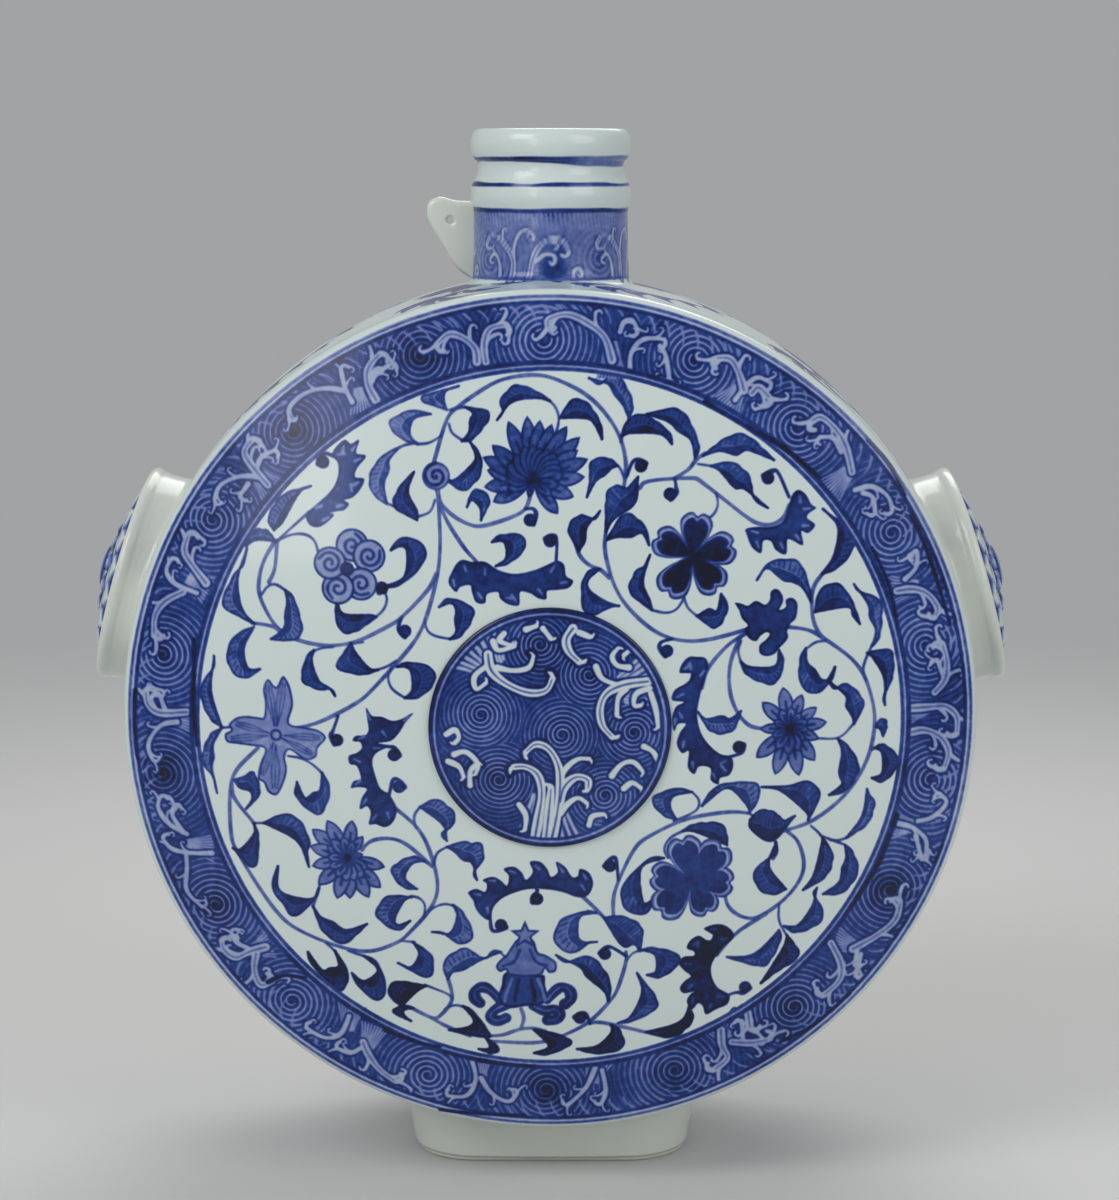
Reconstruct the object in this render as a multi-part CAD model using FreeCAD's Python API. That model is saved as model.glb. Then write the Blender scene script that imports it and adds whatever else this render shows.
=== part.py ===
import FreeCAD, Part
import math
import os

# A round porcelain flask, luted together from separately formed sections.
# Frame: millimetres, +Z up, -Y out of the domed front, the origin on the table under the neck's axis.

Vector = FreeCAD.Vector

# Body: a drum lying on its side, its axis along Y
foot_height = 25.3
crown_radius = 189.4
crown_bulge = 2.7
front_edge_depth = 76.8
dome_rise = 23.5
back_depth = 76.0
body_wall = 7.0
edge_round = 5.0
seam_setback = 14.0
shoulder_half_angle = 32.0

# Medallion boss in the middle of the front
boss_radius = 52.4
boss_seat_depth = 1.0
boss_lip = 1.8
boss_lip_round = 1.2
boss_rise = 3.6

# Recess in the flat back
recess_radius = 92.0
recess_depth = 4.0
recess_slope = 6.0

# Neck
neck_height = 65.9
mouth_bore_radius = 28.0
mouth_edge_round = 2.4
lip_radius = 36.2
lip_height = 13.5
waist_radius = 32.7
waist_drop = 17.0
ridge_radius = 36.2
ridge_drop = 29.0
ridge_height = 13.0
neck_top_radius = 34.7
neck_foot_radius = 35.4
neck_spread = 5.0

# Pierced tab beside the neck
tab_reach = 20.5
tab_height = 38.5
tab_toe_drop = 3.1
tab_thickness = 9.0
tab_edge_round = 2.2
tab_hole_radius = 1.7
tab_hole_reach_share = 0.48
tab_hole_height_share = 0.73
tab_root = 5.0
tab_outline_shares = {
    "crest_root": (0.0, 0.93),
    "crest_dip": (0.37, 0.945),
    "crest": (0.77, 1.0),
    "corner": (0.955, 0.94),
    "tip": (1.0, 0.81),
    "chin": (0.92, 0.64),
    "shin": (0.62, 0.37),
    "instep": (0.37, 0.14),
    "toe": (0.0, 0.02),
}

# Lugs on the flanks
lug_angle = 15.5
lug_height = 13.4
lug_rim_radius = 49.8
lug_rim_height = 5.0
lug_rim_round = 2.0
lug_waist_radius = 48.4
lug_waist_height = 11.0
lug_base_spread = 6.0

# Rosettes carved on the lugs' faces
rosette_radius = 42.0
rosette_rise = 10.5
rosette_petals = 12
groove_radius = 3.0
groove_inner_radius = 12.0
notch_radius = 3.6
button_radius = 9.0
button_rise = 1.6

# Foot
foot_half_width = 63.0
foot_half_depth = 42.0
foot_corner_radius = 28.0
foot_spread = 6.0
foot_wall = 11.0
foot_edge_round = 3.0

# How far a cutting tool runs past the face it cuts, and how near two edges count as level
overrun = 20.0
level_tolerance = 0.01

full_turn = 360.0
half_share = 0.5
front = -1.0


def outline(start, *steps):
    """A closed flat face: a step is a point reached in a straight line, or a pair of points, the
    first passed on an arc and the second reached by it. A last line closes it."""
    edges = []
    here = start
    for step in steps + (start,):
        if isinstance(step, tuple):
            passed, reached = step
            edges.append(Part.Arc(here, passed, reached).toShape())
        else:
            reached = step
            edges.append(Part.LineSegment(here, reached).toShape())
        here = reached
    return Part.Face(Part.Wire(edges))


def circle_radius(half_chord, rise):
    """The radius of the arc with this half chord and this rise."""
    return (half_chord ** 2 + rise ** 2) / (rise + rise)


def arc_drop(radius, offset):
    """How far an arc of this radius falls below its top, an offset to the side."""
    return radius - math.sqrt(radius ** 2 - offset ** 2)


def turn_about_z(face):
    return face.revolve(Vector(0, 0, 0), Vector(0, 0, 1), full_turn)


# The body's outer and inner faces

edge_radius = crown_radius - crown_bulge
body_centre_height = foot_height + crown_radius
body_top = body_centre_height + crown_radius
total_height = body_top + neck_height
dome_radius = circle_radius(edge_radius, dome_rise)
crown_arc_radius = circle_radius(front_edge_depth, crown_radius - edge_radius)


def side_radius(depth):
    """The side wall's outer radius about the drum's axis, at a depth along it."""
    return crown_radius - arc_drop(crown_arc_radius, depth)


def dome_depth(radius):
    """The front face's depth along the drum's axis, at a radius from it."""
    return -front_edge_depth - dome_rise + arc_drop(dome_radius, radius)


def body_point(radius, depth):
    return Vector(radius, depth, body_centre_height)


def turn_about_drum(face):
    return face.revolve(body_point(0, 0), Vector(0, 1, 0), full_turn)


def rim_edges(solid, depth):
    """The round edges of a drum that lie at this depth."""
    return [e for e in solid.Edges
            if math.isclose(e.BoundBox.YMin, depth, abs_tol=level_tolerance)
            and math.isclose(e.BoundBox.YMax, depth, abs_tol=level_tolerance)]


def drum(inset):
    """The body as one closed drum, its faces an inset inside the outer ones: a low dome in front, a
    barrel side and a flat back with a recess."""
    rim = edge_radius - inset
    rim_depth = dome_depth(rim) + inset
    back = back_depth - inset
    middle = rim * half_share
    recess_floor = back - recess_depth
    face = outline(
        body_point(0, dome_depth(0) + inset),
        (body_point(middle, dome_depth(middle) + inset), body_point(rim, rim_depth)),
        (body_point(side_radius(0) - inset, 0), body_point(side_radius(back) - inset, back)),
        body_point(recess_radius + recess_slope + inset, back),
        body_point(recess_radius + inset, recess_floor),
        body_point(0, recess_floor),
    )
    solid = turn_about_drum(face)
    corners = rim_edges(solid, rim_depth) + [
        e for e in rim_edges(solid, back) if e.Curve.Radius > recess_radius + recess_slope + inset
    ]
    return solid.makeFillet(edge_round, corners)


body_outside = drum(0)
body_inside = drum(body_wall)
front_seam = -front_edge_depth + seam_setback
back_seam = back_depth - seam_setback
slab_reach = crown_radius + overrun
slab_depth = front_edge_depth + dome_rise + overrun


def drum_slab(low, high):
    """A slab across the whole drum, between two depths."""
    corner = Vector(-slab_reach, low, body_centre_height - slab_reach)
    return Part.makeBox(slab_reach + slab_reach, high - low, slab_reach + slab_reach, corner)


def drum_shell(low, high):
    return body_outside.cut(body_inside).common(drum_slab(low, high))


# Front panel and its medallion

boss_seat = dome_depth(boss_radius) + boss_seat_depth
boss_edge = dome_depth(boss_radius) - boss_lip
boss_top = boss_edge - boss_rise


def make_front_shell():
    """The domed front with its turned edge, and the flat seat of the medallion."""
    pocket = Part.makeCylinder(boss_radius, slab_depth, body_point(0, boss_seat), Vector(0, front, 0))
    return drum_shell(-slab_depth, front_seam).cut(pocket)


def make_medallion_boss():
    """A convex roundel, its back flat on the seat and its edge rounded over."""
    curve = circle_radius(boss_radius, boss_rise)
    middle = boss_radius * half_share
    face = outline(
        body_point(0, boss_seat),
        body_point(boss_radius, boss_seat),
        body_point(boss_radius, boss_edge),
        (body_point(middle, boss_top + arc_drop(curve, middle)), body_point(0, boss_top)),
    )
    roundel = turn_about_drum(face)
    return roundel.makeFillet(boss_lip_round, rim_edges(roundel, boss_edge))


def shoulder_wedge():
    """The wedge of the drum, from its axis up, that holds the shoulder."""
    half_width = slab_reach * math.tan(math.radians(shoulder_half_angle))
    top = body_centre_height + slab_reach
    face = outline(
        Vector(0, -slab_depth, body_centre_height),
        Vector(half_width, -slab_depth, top),
        Vector(-half_width, -slab_depth, top),
    )
    return face.extrude(Vector(0, slab_depth + slab_depth, 0))


def make_shoulder_slab():
    """The top of the barrel side, bored under the neck."""
    bore = Part.makeCylinder(mouth_bore_radius, total_height, body_point(0, 0))
    return drum_shell(front_seam, back_seam).common(shoulder_wedge()).cut(bore)


def make_side_hoop():
    """The barrel side, open at the top for the shoulder."""
    return drum_shell(front_seam, back_seam).cut(shoulder_wedge())


def make_back_shell():
    return drum_shell(back_seam, slab_depth)


# Neck

def neck_point(radius, height):
    return Vector(radius, 0, height)


neck_spread_radius = neck_foot_radius + neck_spread
tab_foot_height = body_top - tab_toe_drop
lip_middle = total_height - lip_height * half_share
lip_foot = total_height - lip_height
lip_foot_radius = (waist_radius + lip_radius) * half_share
lip_shoulder_radius = (mouth_bore_radius + lip_radius) * half_share
waist_height = total_height - waist_drop
ridge_middle = total_height - ridge_drop
ridge_top = ridge_middle + ridge_height * half_share
ridge_foot = ridge_middle - ridge_height * half_share
ridge_top_radius = (waist_radius + ridge_radius) * half_share
neck_low = body_top - arc_drop(crown_radius, neck_spread_radius) - neck_spread
spread_bend = neck_spread * (1 - math.cos(math.pi / 4))


def make_neck():
    """A rolled lip, a drawn-in waist, a ridge, and a straight neck that spreads onto the side wall."""
    face = outline(
        neck_point(mouth_bore_radius, neck_low),
        neck_point(neck_spread_radius, neck_low),
        neck_point(neck_spread_radius, body_top - neck_spread),
        (neck_point(neck_foot_radius + spread_bend, body_top - spread_bend),
         neck_point(neck_foot_radius, body_top + neck_spread - spread_bend)),
        neck_point(neck_top_radius, ridge_foot),
        (neck_point(ridge_radius, ridge_middle), neck_point(ridge_top_radius, ridge_top)),
        (neck_point(waist_radius, waist_height), neck_point(lip_foot_radius, lip_foot)),
        (neck_point(lip_radius, lip_middle), neck_point(lip_shoulder_radius, total_height)),
        neck_point(mouth_bore_radius + mouth_edge_round, total_height),
        neck_point(mouth_bore_radius, total_height - mouth_edge_round),
    )
    return turn_about_z(face).cut(body_outside)


def tab_point(name):
    """A point of the tab's outline, from its shares of the reach out of the neck and of the height."""
    reach_share, height_share = tab_outline_shares[name]
    return Vector(-neck_foot_radius - tab_reach * reach_share, tab_thickness * half_share,
                  tab_foot_height + tab_height * height_share)


def make_stopper_tab():
    """A pierced ear, one smooth curve from its crest to its toe, with rounded edges and its root cut to
    the neck and the wall."""
    curve = Part.BSplineCurve()
    curve.interpolate([tab_point(name) for name in tab_outline_shares])
    root_top = tab_point("crest_root") + Vector(tab_root, 0, 0)
    root_low = tab_point("toe") + Vector(tab_root, 0, 0)
    edges = [
        curve.toShape(),
        Part.LineSegment(tab_point("toe"), root_low).toShape(),
        Part.LineSegment(root_low, root_top).toShape(),
        Part.LineSegment(root_top, tab_point("crest_root")).toShape(),
    ]
    plate = Part.Face(Part.Wire(edges)).extrude(Vector(0, -tab_thickness, 0))
    sides = [e for e in plate.Edges if e.BoundBox.YLength < tab_edge_round and e.Length > tab_height]
    plate = plate.makeFillet(tab_edge_round, sides)
    hole_at = Vector(-neck_foot_radius - tab_reach * tab_hole_reach_share, -tab_thickness,
                     tab_foot_height + tab_height * tab_hole_height_share)
    hole = Part.makeCylinder(tab_hole_radius, tab_thickness + tab_thickness, hole_at, Vector(0, 1, 0))
    return plate.cut(make_neck()).cut(neck_core()).cut(body_outside).cut(hole)


def neck_core():
    """The space inside the neck."""
    return Part.makeCylinder(mouth_bore_radius, total_height)


# Lugs and rosettes, made standing on Z and then leaned out to their sides

def lean_out(shape, side):
    """Carry a shape from the Z axis to a flank, at the lugs' angle above level."""
    angle = math.radians(lug_angle)
    outward = Vector(side * math.cos(angle), 0, math.sin(angle))
    lean = FreeCAD.Placement(body_point(0, 0), FreeCAD.Rotation(Vector(0, 0, 1), outward))
    shape.Placement = lean.multiply(shape.Placement)
    return shape


lug_face_radius = crown_radius + lug_height


def make_lug(side):
    """A round spool: a base that spreads onto the wall, a shallow waist and a rounded rim."""
    rim_low = lug_face_radius - lug_rim_height
    waist = lug_face_radius - lug_waist_height
    base_radius = lug_waist_radius + lug_base_spread
    base = crown_radius - arc_drop(crown_radius, base_radius)
    spread_middle = lug_waist_radius + lug_base_spread * half_share * half_share
    spool = turn_about_z(outline(
        neck_point(0, base - body_wall),
        neck_point(base_radius, base - body_wall),
        neck_point(base_radius, base),
        (neck_point(spread_middle, (base + waist) * half_share), neck_point(lug_waist_radius, waist)),
        neck_point(lug_rim_radius, rim_low),
        neck_point(lug_rim_radius, lug_face_radius),
        neck_point(0, lug_face_radius),
    ))
    rim = [e for e in spool.Edges if e.BoundBox.ZMin > rim_low and e.BoundBox.ZLength < lug_rim_round
           and e.BoundBox.XLength > lug_rim_radius]
    return lean_out(spool.makeFillet(lug_rim_round, rim), side).cut(body_outside)


def rosette_height(radius):
    """The rosette's domed face above its seat, at a radius from its middle."""
    return rosette_rise - arc_drop(circle_radius(rosette_radius, rosette_rise), radius)


def petal_groove():
    """The round cutter that parts two petals: it slopes down the dome and runs out past its edge."""
    inner = neck_point(groove_inner_radius, rosette_height(groove_inner_radius))
    outer = neck_point(rosette_radius, 0)
    slope = outer - inner
    return Part.makeCylinder(groove_radius, slope.Length + groove_radius, inner, slope)


def petal_notch():
    """The upright cutter that scallops the edge between two petals."""
    return Part.makeCylinder(notch_radius, rosette_rise, neck_point(rosette_radius, 0))


def make_rosette(side):
    """A low dome cut into a ring of petals, round a button, its flat back seated on the lug."""
    middle = rosette_radius * half_share
    flower = turn_about_z(outline(
        neck_point(0, 0),
        neck_point(rosette_radius, 0),
        (neck_point(middle, rosette_height(middle)), neck_point(0, rosette_rise)),
    ))
    cutters = []
    for index in range(rosette_petals):
        for cutter in (petal_groove(), petal_notch()):
            cutter.rotate(Vector(0, 0, 0), Vector(0, 0, 1), index * full_turn / rosette_petals)
            cutters.append(cutter)
    flower = flower.cut(cutters)
    button_middle = neck_point(0, rosette_rise + button_rise - button_radius)
    upper_half = (0, full_turn / 4)
    flower = flower.fuse(Part.makeSphere(button_radius, button_middle, Vector(0, 0, 1), *upper_half))
    flower.translate(Vector(0, 0, lug_face_radius))
    return lean_out(flower, side)


# Foot

def rounded_rectangle(half_width, half_depth, corner, height):
    """A wire in a level plane: a rectangle with round corners."""
    cut = corner * (1 - math.sqrt(half_share))
    inner_width = half_width - corner
    inner_depth = half_depth - corner
    edges = []
    for sx, sy in ((1, 1), (-1, 1), (-1, -1), (1, -1)):
        first = Vector(sx * half_width, sy * inner_depth, height)
        last = Vector(sx * inner_width, sy * half_depth, height)
        if sx * sy < 0:
            first, last = last, first
        passed = Vector(sx * (half_width - cut), sy * (half_depth - cut), height)
        edges.append(Part.Arc(first, passed, last).toShape())
    corners = []
    for index, arc in enumerate(edges):
        after = edges[(index + 1) % len(edges)]
        corners.append(arc)
        corners.append(Part.LineSegment(arc.Vertexes[-1].Point, after.Vertexes[0].Point).toShape())
    return Part.Wire(corners)


foot_top = foot_height + arc_drop(crown_radius, foot_half_width + foot_spread) + foot_edge_round


def foot_block(inset, low):
    """The foot's outline carried up and outwards into the body, an inset inside its outer face."""
    slope = foot_spread / foot_top
    sections = []
    for height in (low, foot_top):
        grown = slope * height - inset
        sections.append(rounded_rectangle(foot_half_width + grown, foot_half_depth + grown,
                                          foot_corner_radius + grown, height))
    return Part.makeLoft(sections, True, True)


def make_foot_ring():
    """A low hollow foot, its top edge cut to the side wall's underside."""
    block = foot_block(0, 0)
    under = [e for e in block.Edges if e.BoundBox.ZMax < foot_edge_round]
    ring = block.makeFillet(foot_edge_round, under).cut(foot_block(foot_wall, -foot_edge_round))
    return ring.cut(body_outside)


def main():
    os.makedirs("parts", exist_ok=True)
    nodes = {
        "front_shell": make_front_shell(),
        "medallion_boss": make_medallion_boss(),
        "side_hoop": make_side_hoop(),
        "shoulder_slab": make_shoulder_slab(),
        "back_shell": make_back_shell(),
        "neck": make_neck(),
        "stopper_tab": make_stopper_tab(),
        "left_lug": make_lug(-1),
        "right_lug": make_lug(1),
        "left_rosette": make_rosette(-1),
        "right_rosette": make_rosette(1),
        "foot_ring": make_foot_ring(),
    }
    for name, shape in nodes.items():
        print(name, "solids", len(shape.Solids), "valid", shape.isValid(), "volume %.1f" % shape.Volume)
        shape.Solids[0].exportStep("parts/" + name + ".step")


main()
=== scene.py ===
"""Looks of a round porcelain flask, painted in cobalt under a clear glaze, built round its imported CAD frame.

Each surface is a numpy grid in millimetres in the CAD's own frame, with -Y out of the domed front. The
painting is brushed onto flat numpy sheets of cobalt tone, and every grid point picks up its tone from one.
"""

import functools
import math
from types import SimpleNamespace

import bpy
import numpy as np
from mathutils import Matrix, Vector


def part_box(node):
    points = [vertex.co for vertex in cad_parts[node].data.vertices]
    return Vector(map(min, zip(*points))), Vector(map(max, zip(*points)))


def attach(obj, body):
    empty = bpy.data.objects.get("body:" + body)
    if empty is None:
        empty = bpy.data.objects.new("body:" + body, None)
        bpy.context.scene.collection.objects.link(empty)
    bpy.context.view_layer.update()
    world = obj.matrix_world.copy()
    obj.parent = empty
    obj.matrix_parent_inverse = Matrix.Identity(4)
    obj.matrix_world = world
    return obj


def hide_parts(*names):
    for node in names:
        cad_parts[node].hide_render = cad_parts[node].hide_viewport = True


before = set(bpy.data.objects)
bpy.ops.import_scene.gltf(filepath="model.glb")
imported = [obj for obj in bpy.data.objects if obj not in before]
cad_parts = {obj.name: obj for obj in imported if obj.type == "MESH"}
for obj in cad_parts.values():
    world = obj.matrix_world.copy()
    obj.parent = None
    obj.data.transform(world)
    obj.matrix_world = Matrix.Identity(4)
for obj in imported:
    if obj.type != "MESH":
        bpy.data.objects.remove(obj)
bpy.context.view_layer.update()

bl_info = {
    "name": "Pilgrim flask",
    "version": (1, 0, 0),
    "blender": (4, 5, 0),
    "location": "View3D > Sidebar > Flask",
    "description": "A round porcelain flask painted in cobalt under a clear glaze",
    "category": "Object",
}

MM = 0.001


def node_box(node):
    """A CAD node's lowest and highest corners, in millimetres."""
    low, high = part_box(node)
    return np.array(low) / MM, np.array(high) / MM


SHELL_HIGH = node_box("front_shell")[1]
BACK_LOW, BACK_HIGH = node_box("back_shell")
BOSS_LOW, BOSS_HIGH = node_box("medallion_boss")
NECK_HIGH = node_box("neck")[1]
AXIS_HEIGHT = 0.5 * (BACK_LOW[2] + BACK_HIGH[2])
BOSS_RADIUS = 0.5 * (BOSS_HIGH[0] - BOSS_LOW[0])

# The photograph's frame, and the camera that took it: pixels, millimetres and radians
PHOTO_WIDTH = 1119
PHOTO_HEIGHT = 1200
PHOTO_FOCAL = 2929.0
CAMERA_SIDE = 6.1
CAMERA_AWAY = 1336.0
CAMERA_HEIGHT = 458.7
CAMERA_TILT = 0.1511
CAMERA_TURN = -0.0016
SENSOR_WIDTH = 36.0

# Cobalt tones, from bare glaze to the heaped near-black
BARE = 0.0
PALE = 0.46
WASH = 0.58
MID = 0.70
DARK = 0.82
HEAPED = 1.0

# Brush sizes, in millimetres
STEM_WIDTH = 1.6
STALK_WIDTH = 1.25
LEAF_EDGE = 0.9
BRUSH_SOFTNESS = 0.8
# A distance beyond any brush
FAR = 1e6

# Rings of the front, as radii in millimetres, and the pieces that its field and border are cut into
FIELD_RADIUS = 152.6
BORDER_OUTER = 180.6
FIELD_SECTORS = 6
BORDER_SECTORS = 4
# Ruled rings of the wave border as inner radius, outer radius and tone; the medallion's count from its edge
BORDER_RINGS = (
    (FIELD_RADIUS, 154.2, MID), (154.2, 155.1, 0.26), (155.1, 157.0, DARK), (BORDER_OUTER, 182.2, DARK),
    (182.2, 183.4, 0.20), (183.4, 184.6, WASH), (184.6, 190.0, 0.03),
)
MEDALLION_RINGS = ((-2.2, 4.0, DARK + 0.04), (-3.2, -2.2, 0.28), (-4.4, -3.2, DARK))
# Slanted dashes along the border's outer edge: how many, where they start, how that wavers, and their lean
DASHES = 168
DASH_RADIUS = 174.0
DASH_WAVER = 1.6
DASH_LEAN = np.array([0.0, 0.006, 0.022])

# Steps of the painted sheets, how far the neck's reaches up, and margins of the round ones, in millimetres
FRONT_STEP = 0.3
MEDALLION_STEP = 0.2
SIDE_STEP = 0.5
NECK_STEP = 0.35
NECK_SHEET_REACH = 480.0
FRONT_MARGIN = 3.0
MEDALLION_MARGIN = 2.0

# How far pieces lap under or sink into their neighbours, in millimetres
FIELD_OVERLAP = 1.0
BOSS_SINK = 0.5
NECK_SINK = 0.4
LUG_SINK = 0.6
ROSETTE_SINK = 0.5
FOOT_SINK = 0.8
TAB_DROP = 3.1
# A lug's rim over its waist, the tab's round edge and its hole's bevel, the foot's inner edge, the wall and
# its cut inner corners, and the part of a rosette's rise that is left to its carving, in millimetres
LUG_RIM = 9.0
TAB_EDGE = 2.4
TAB_BEVEL = 0.6
FOOT_INNER_ROUND = 2.0
INNER_WALL = 7.0
INNER_CORNER_WIDTH = 4.0
INNER_CORNER_DEPTH = 3.0
ROSETTE_CARVING = 1.5
# Shares: the neck's spread base, its height to its width; the foot's spread, inside to outside; and where a
# rosette's outer edge starts to fall, of its radius
NECK_FLARE = 1.25
FOOT_INNER_FLARE = 0.9
ROSETTE_EDGE = 0.955

# Mesh counts: rows along a piece's profile and columns round it
FIELD_ROWS, FIELD_COLUMNS = 190, 310
BORDER_ROWS, BORDER_COLUMNS = 64, 560
RIM_ROWS = 12
MEDALLION_ROWS, MEDALLION_COLUMNS = 118, 660
SIDE_ROWS = 110
BACK_EDGE_COLUMNS, BACK_FACE_COLUMNS = 1000, 240
NECK_COLUMNS = 480
LUG_COLUMNS = 160
ROSETTE_ROWS, ROSETTE_COLUMNS = 84, 336
FOOT_COLUMNS = 320
INNER_ROWS, INNER_COLUMNS = 24, 180
SHAFT_ROWS = 26

# Stretches of the side wall: name, first and last angle in degrees, columns, and the CAD node replaced
SIDE_SPANS = (
    ("shoulder", 58.0, 122.0, 210, "shoulder_slab"), ("left_side", 122.0, 270.0, 480, "side_hoop"),
    ("right_side", -90.0, 58.0, 480, "side_hoop"),
)
# How far the side's scroll stops short of both edges, in millimetres
SIDE_MARGIN = 5.0
# Leaves of a spray on the side: place along its stalk as a share, then lean and rise in millimetres
SPRAY_LEAVES = (
    (0.35, -9.0, 17.0), (0.55, -16.0, 6.0), (0.6, 15.0, 7.0), (0.75, 6.0, 15.0), (0.8, -17.0, 10.0),
    (1.0, -14.0, 13.0), (1.0, 3.0, 15.0), (1.0, 18.0, 11.0), (1.0, 22.0, 2.0), (1.0, 15.0, -8.0),
)

# Points of the painting, in the photograph's pixels unless a comment names millimetres

# Scroll stems of the front
STEMS = (
    ((434, 462), (445, 424), (455, 409), (488, 386), (508, 378), (531, 375), (553, 378), (590, 397),
     (617, 430), (626, 462), (624, 486)),
    ((437, 490), (441, 503), (452, 515), (468, 524), (484, 526), (517, 515), (527, 506), (531, 492)),
    ((438, 490), (440, 560), (428, 612), (420, 632), (408, 650), (372, 690), (355, 704), (320, 722),
     (297, 728)),
    ((440, 505), (448, 523), (465, 549), (476, 561)), ((277, 541), (275, 568), (269, 582)),
    ((275, 541), (264, 560), (259, 580), (261, 600), (281, 632), (318, 645), (352, 643), (385, 628),
     (402, 617), (428, 590), (436, 574)),
    ((252, 623), (272, 626), (281, 632)),
    ((640, 488), (648, 481), (690, 478), (703, 483), (745, 516), (760, 524), (773, 524), (784, 517),
     (789, 505)),
    ((675, 478), (688, 470), (696, 460), (705, 453)),
    ((606, 530), (605, 552), (616, 590), (638, 618), (666, 637), (702, 641), (752, 628)),
    ((576, 546), (580, 556), (589, 565), (601, 570), (609, 578)),
    ((745, 634), (728, 645), (708, 668), (702, 688)),
    ((740, 638), (731, 660), (729, 682), (732, 700), (739, 715), (750, 726), (764, 729)),
    ((788, 627), (804, 629), (817, 634), (845, 653), (858, 666), (867, 682), (875, 716), (869, 755),
     (848, 792), (814, 820), (784, 831)),
    ((824, 639), (816, 628), (812, 612), (813, 588), (824, 572)),
    ((388, 794), (393, 806), (414, 824), (428, 846), (438, 884), (431, 908), (410, 932), (396, 943),
     (360, 952), (300, 931), (272, 906), (238, 853), (231, 833), (230, 790), (237, 769), (258, 748)),
    ((232, 784), (234, 798), (254, 823)),
    ((748, 813), (728, 812), (686, 819), (648, 837), (633, 851), (616, 887), (613, 906), (614, 920)),
    ((582, 896), (602, 915), (610, 926)),
    ((788, 832), (799, 843), (804, 870), (788, 896), (761, 916), (747, 918), (735, 913), (727, 904),
     (725, 892)),
    ((766, 914), (736, 933), (717, 955)),
    ((560, 1037), (588, 1023), (610, 1001), (618, 988), (626, 962), (626, 952)),
    ((432, 866), (409, 846), (394, 839), (378, 839), (368, 843), (362, 850)),
    ((410, 1007), (432, 1018), (441, 1015), (452, 1001), (451, 989), (448, 979)),
    ((432, 1018), (446, 1026), (470, 1036)),
    ((488, 1036), (503, 1035), (517, 1030), (531, 1028), (545, 1031)),
    ((490, 1041), (530, 1043), (548, 1041)), ((521, 1009), (524, 1018), (521, 1028)),
    ((590, 1023), (606, 1023), (666, 1037)),
)
# Thin stalks that carry leaves and flowers
STALKS = (
    ((277, 541), (290, 529), (309, 512)), ((462, 406), (450, 410)), ((441, 436), (429, 443), (417, 444)),
    ((449, 424), (452, 433), (462, 440)), ((465, 407), (455, 409)), ((435, 500), (430, 512), (417, 517)),
    ((417, 443), (405, 445), (396, 449)), ((386, 503), (396, 507)), ((449, 482), (457, 486)),
    ((550, 401), (556, 408), (559, 420), (555, 436)), ((629, 419), (624, 428), (621, 442)),
    ((624, 478), (620, 468), (612, 462)), ((716, 493), (718, 504), (714, 514), (706, 520)),
    ((692, 466), (696, 458)), ((698, 464), (712, 466)), ((262, 594), (267, 587), (275, 584), (285, 590)),
    ((277, 541), (290, 535), (304, 534), (314, 540), (318, 551)), ((333, 647), (322, 648), (314, 651)),
    ((363, 642), (351, 644)), ((376, 670), (386, 667), (396, 661)),
    ((382, 587), (387, 598), (384, 609), (376, 617)), ((425, 619), (427, 630), (435, 636), (450, 639)),
    ((392, 667), (388, 677), (392, 689), (405, 698)), ((684, 598), (677, 609), (666, 613), (652, 610)),
    ((684, 598), (688, 608), (697, 616)), ((741, 641), (738, 651), (741, 662)),
    ((826, 641), (816, 642), (806, 649)), ((866, 680), (863, 667), (872, 645)),
    ((815, 738), (839, 738), (854, 723)), ((872, 750), (879, 745)), ((748, 813), (754, 816)),
    ((221, 728), (230, 727)), ((253, 823), (264, 823)), ((288, 756), (300, 758), (312, 764), (322, 773)),
    ((320, 884), (316, 898), (313, 907)), ((416, 828), (414, 816), (420, 807)),
    ((434, 864), (437, 853), (447, 847)), ((432, 867), (424, 861), (415, 857)),
    ((424, 917), (425, 905), (419, 898), (411, 896)), ((428, 912), (437, 906), (446, 904), (454, 906)),
    ((402, 941), (414, 942)), ((326, 943), (335, 951)), ((348, 951), (364, 956)),
    ((452, 1000), (448, 994), (425, 985)), ((445, 1009), (455, 1005), (464, 1007)),
    ((604, 918), (598, 913), (588, 911)), ((627, 960), (633, 953), (642, 950)),
    ((668, 858), (664, 849), (670, 838), (683, 831)), ((692, 792), (699, 800), (696, 811), (674, 821)),
    ((811, 826), (820, 834), (824, 842)), ((820, 835), (832, 840), (843, 844)),
    ((830, 840), (840, 840), (848, 837)), ((775, 842), (777, 852), (773, 859)),
    ((779, 905), (779, 921), (787, 936)), ((500, 952), (505, 957)),
)
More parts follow.
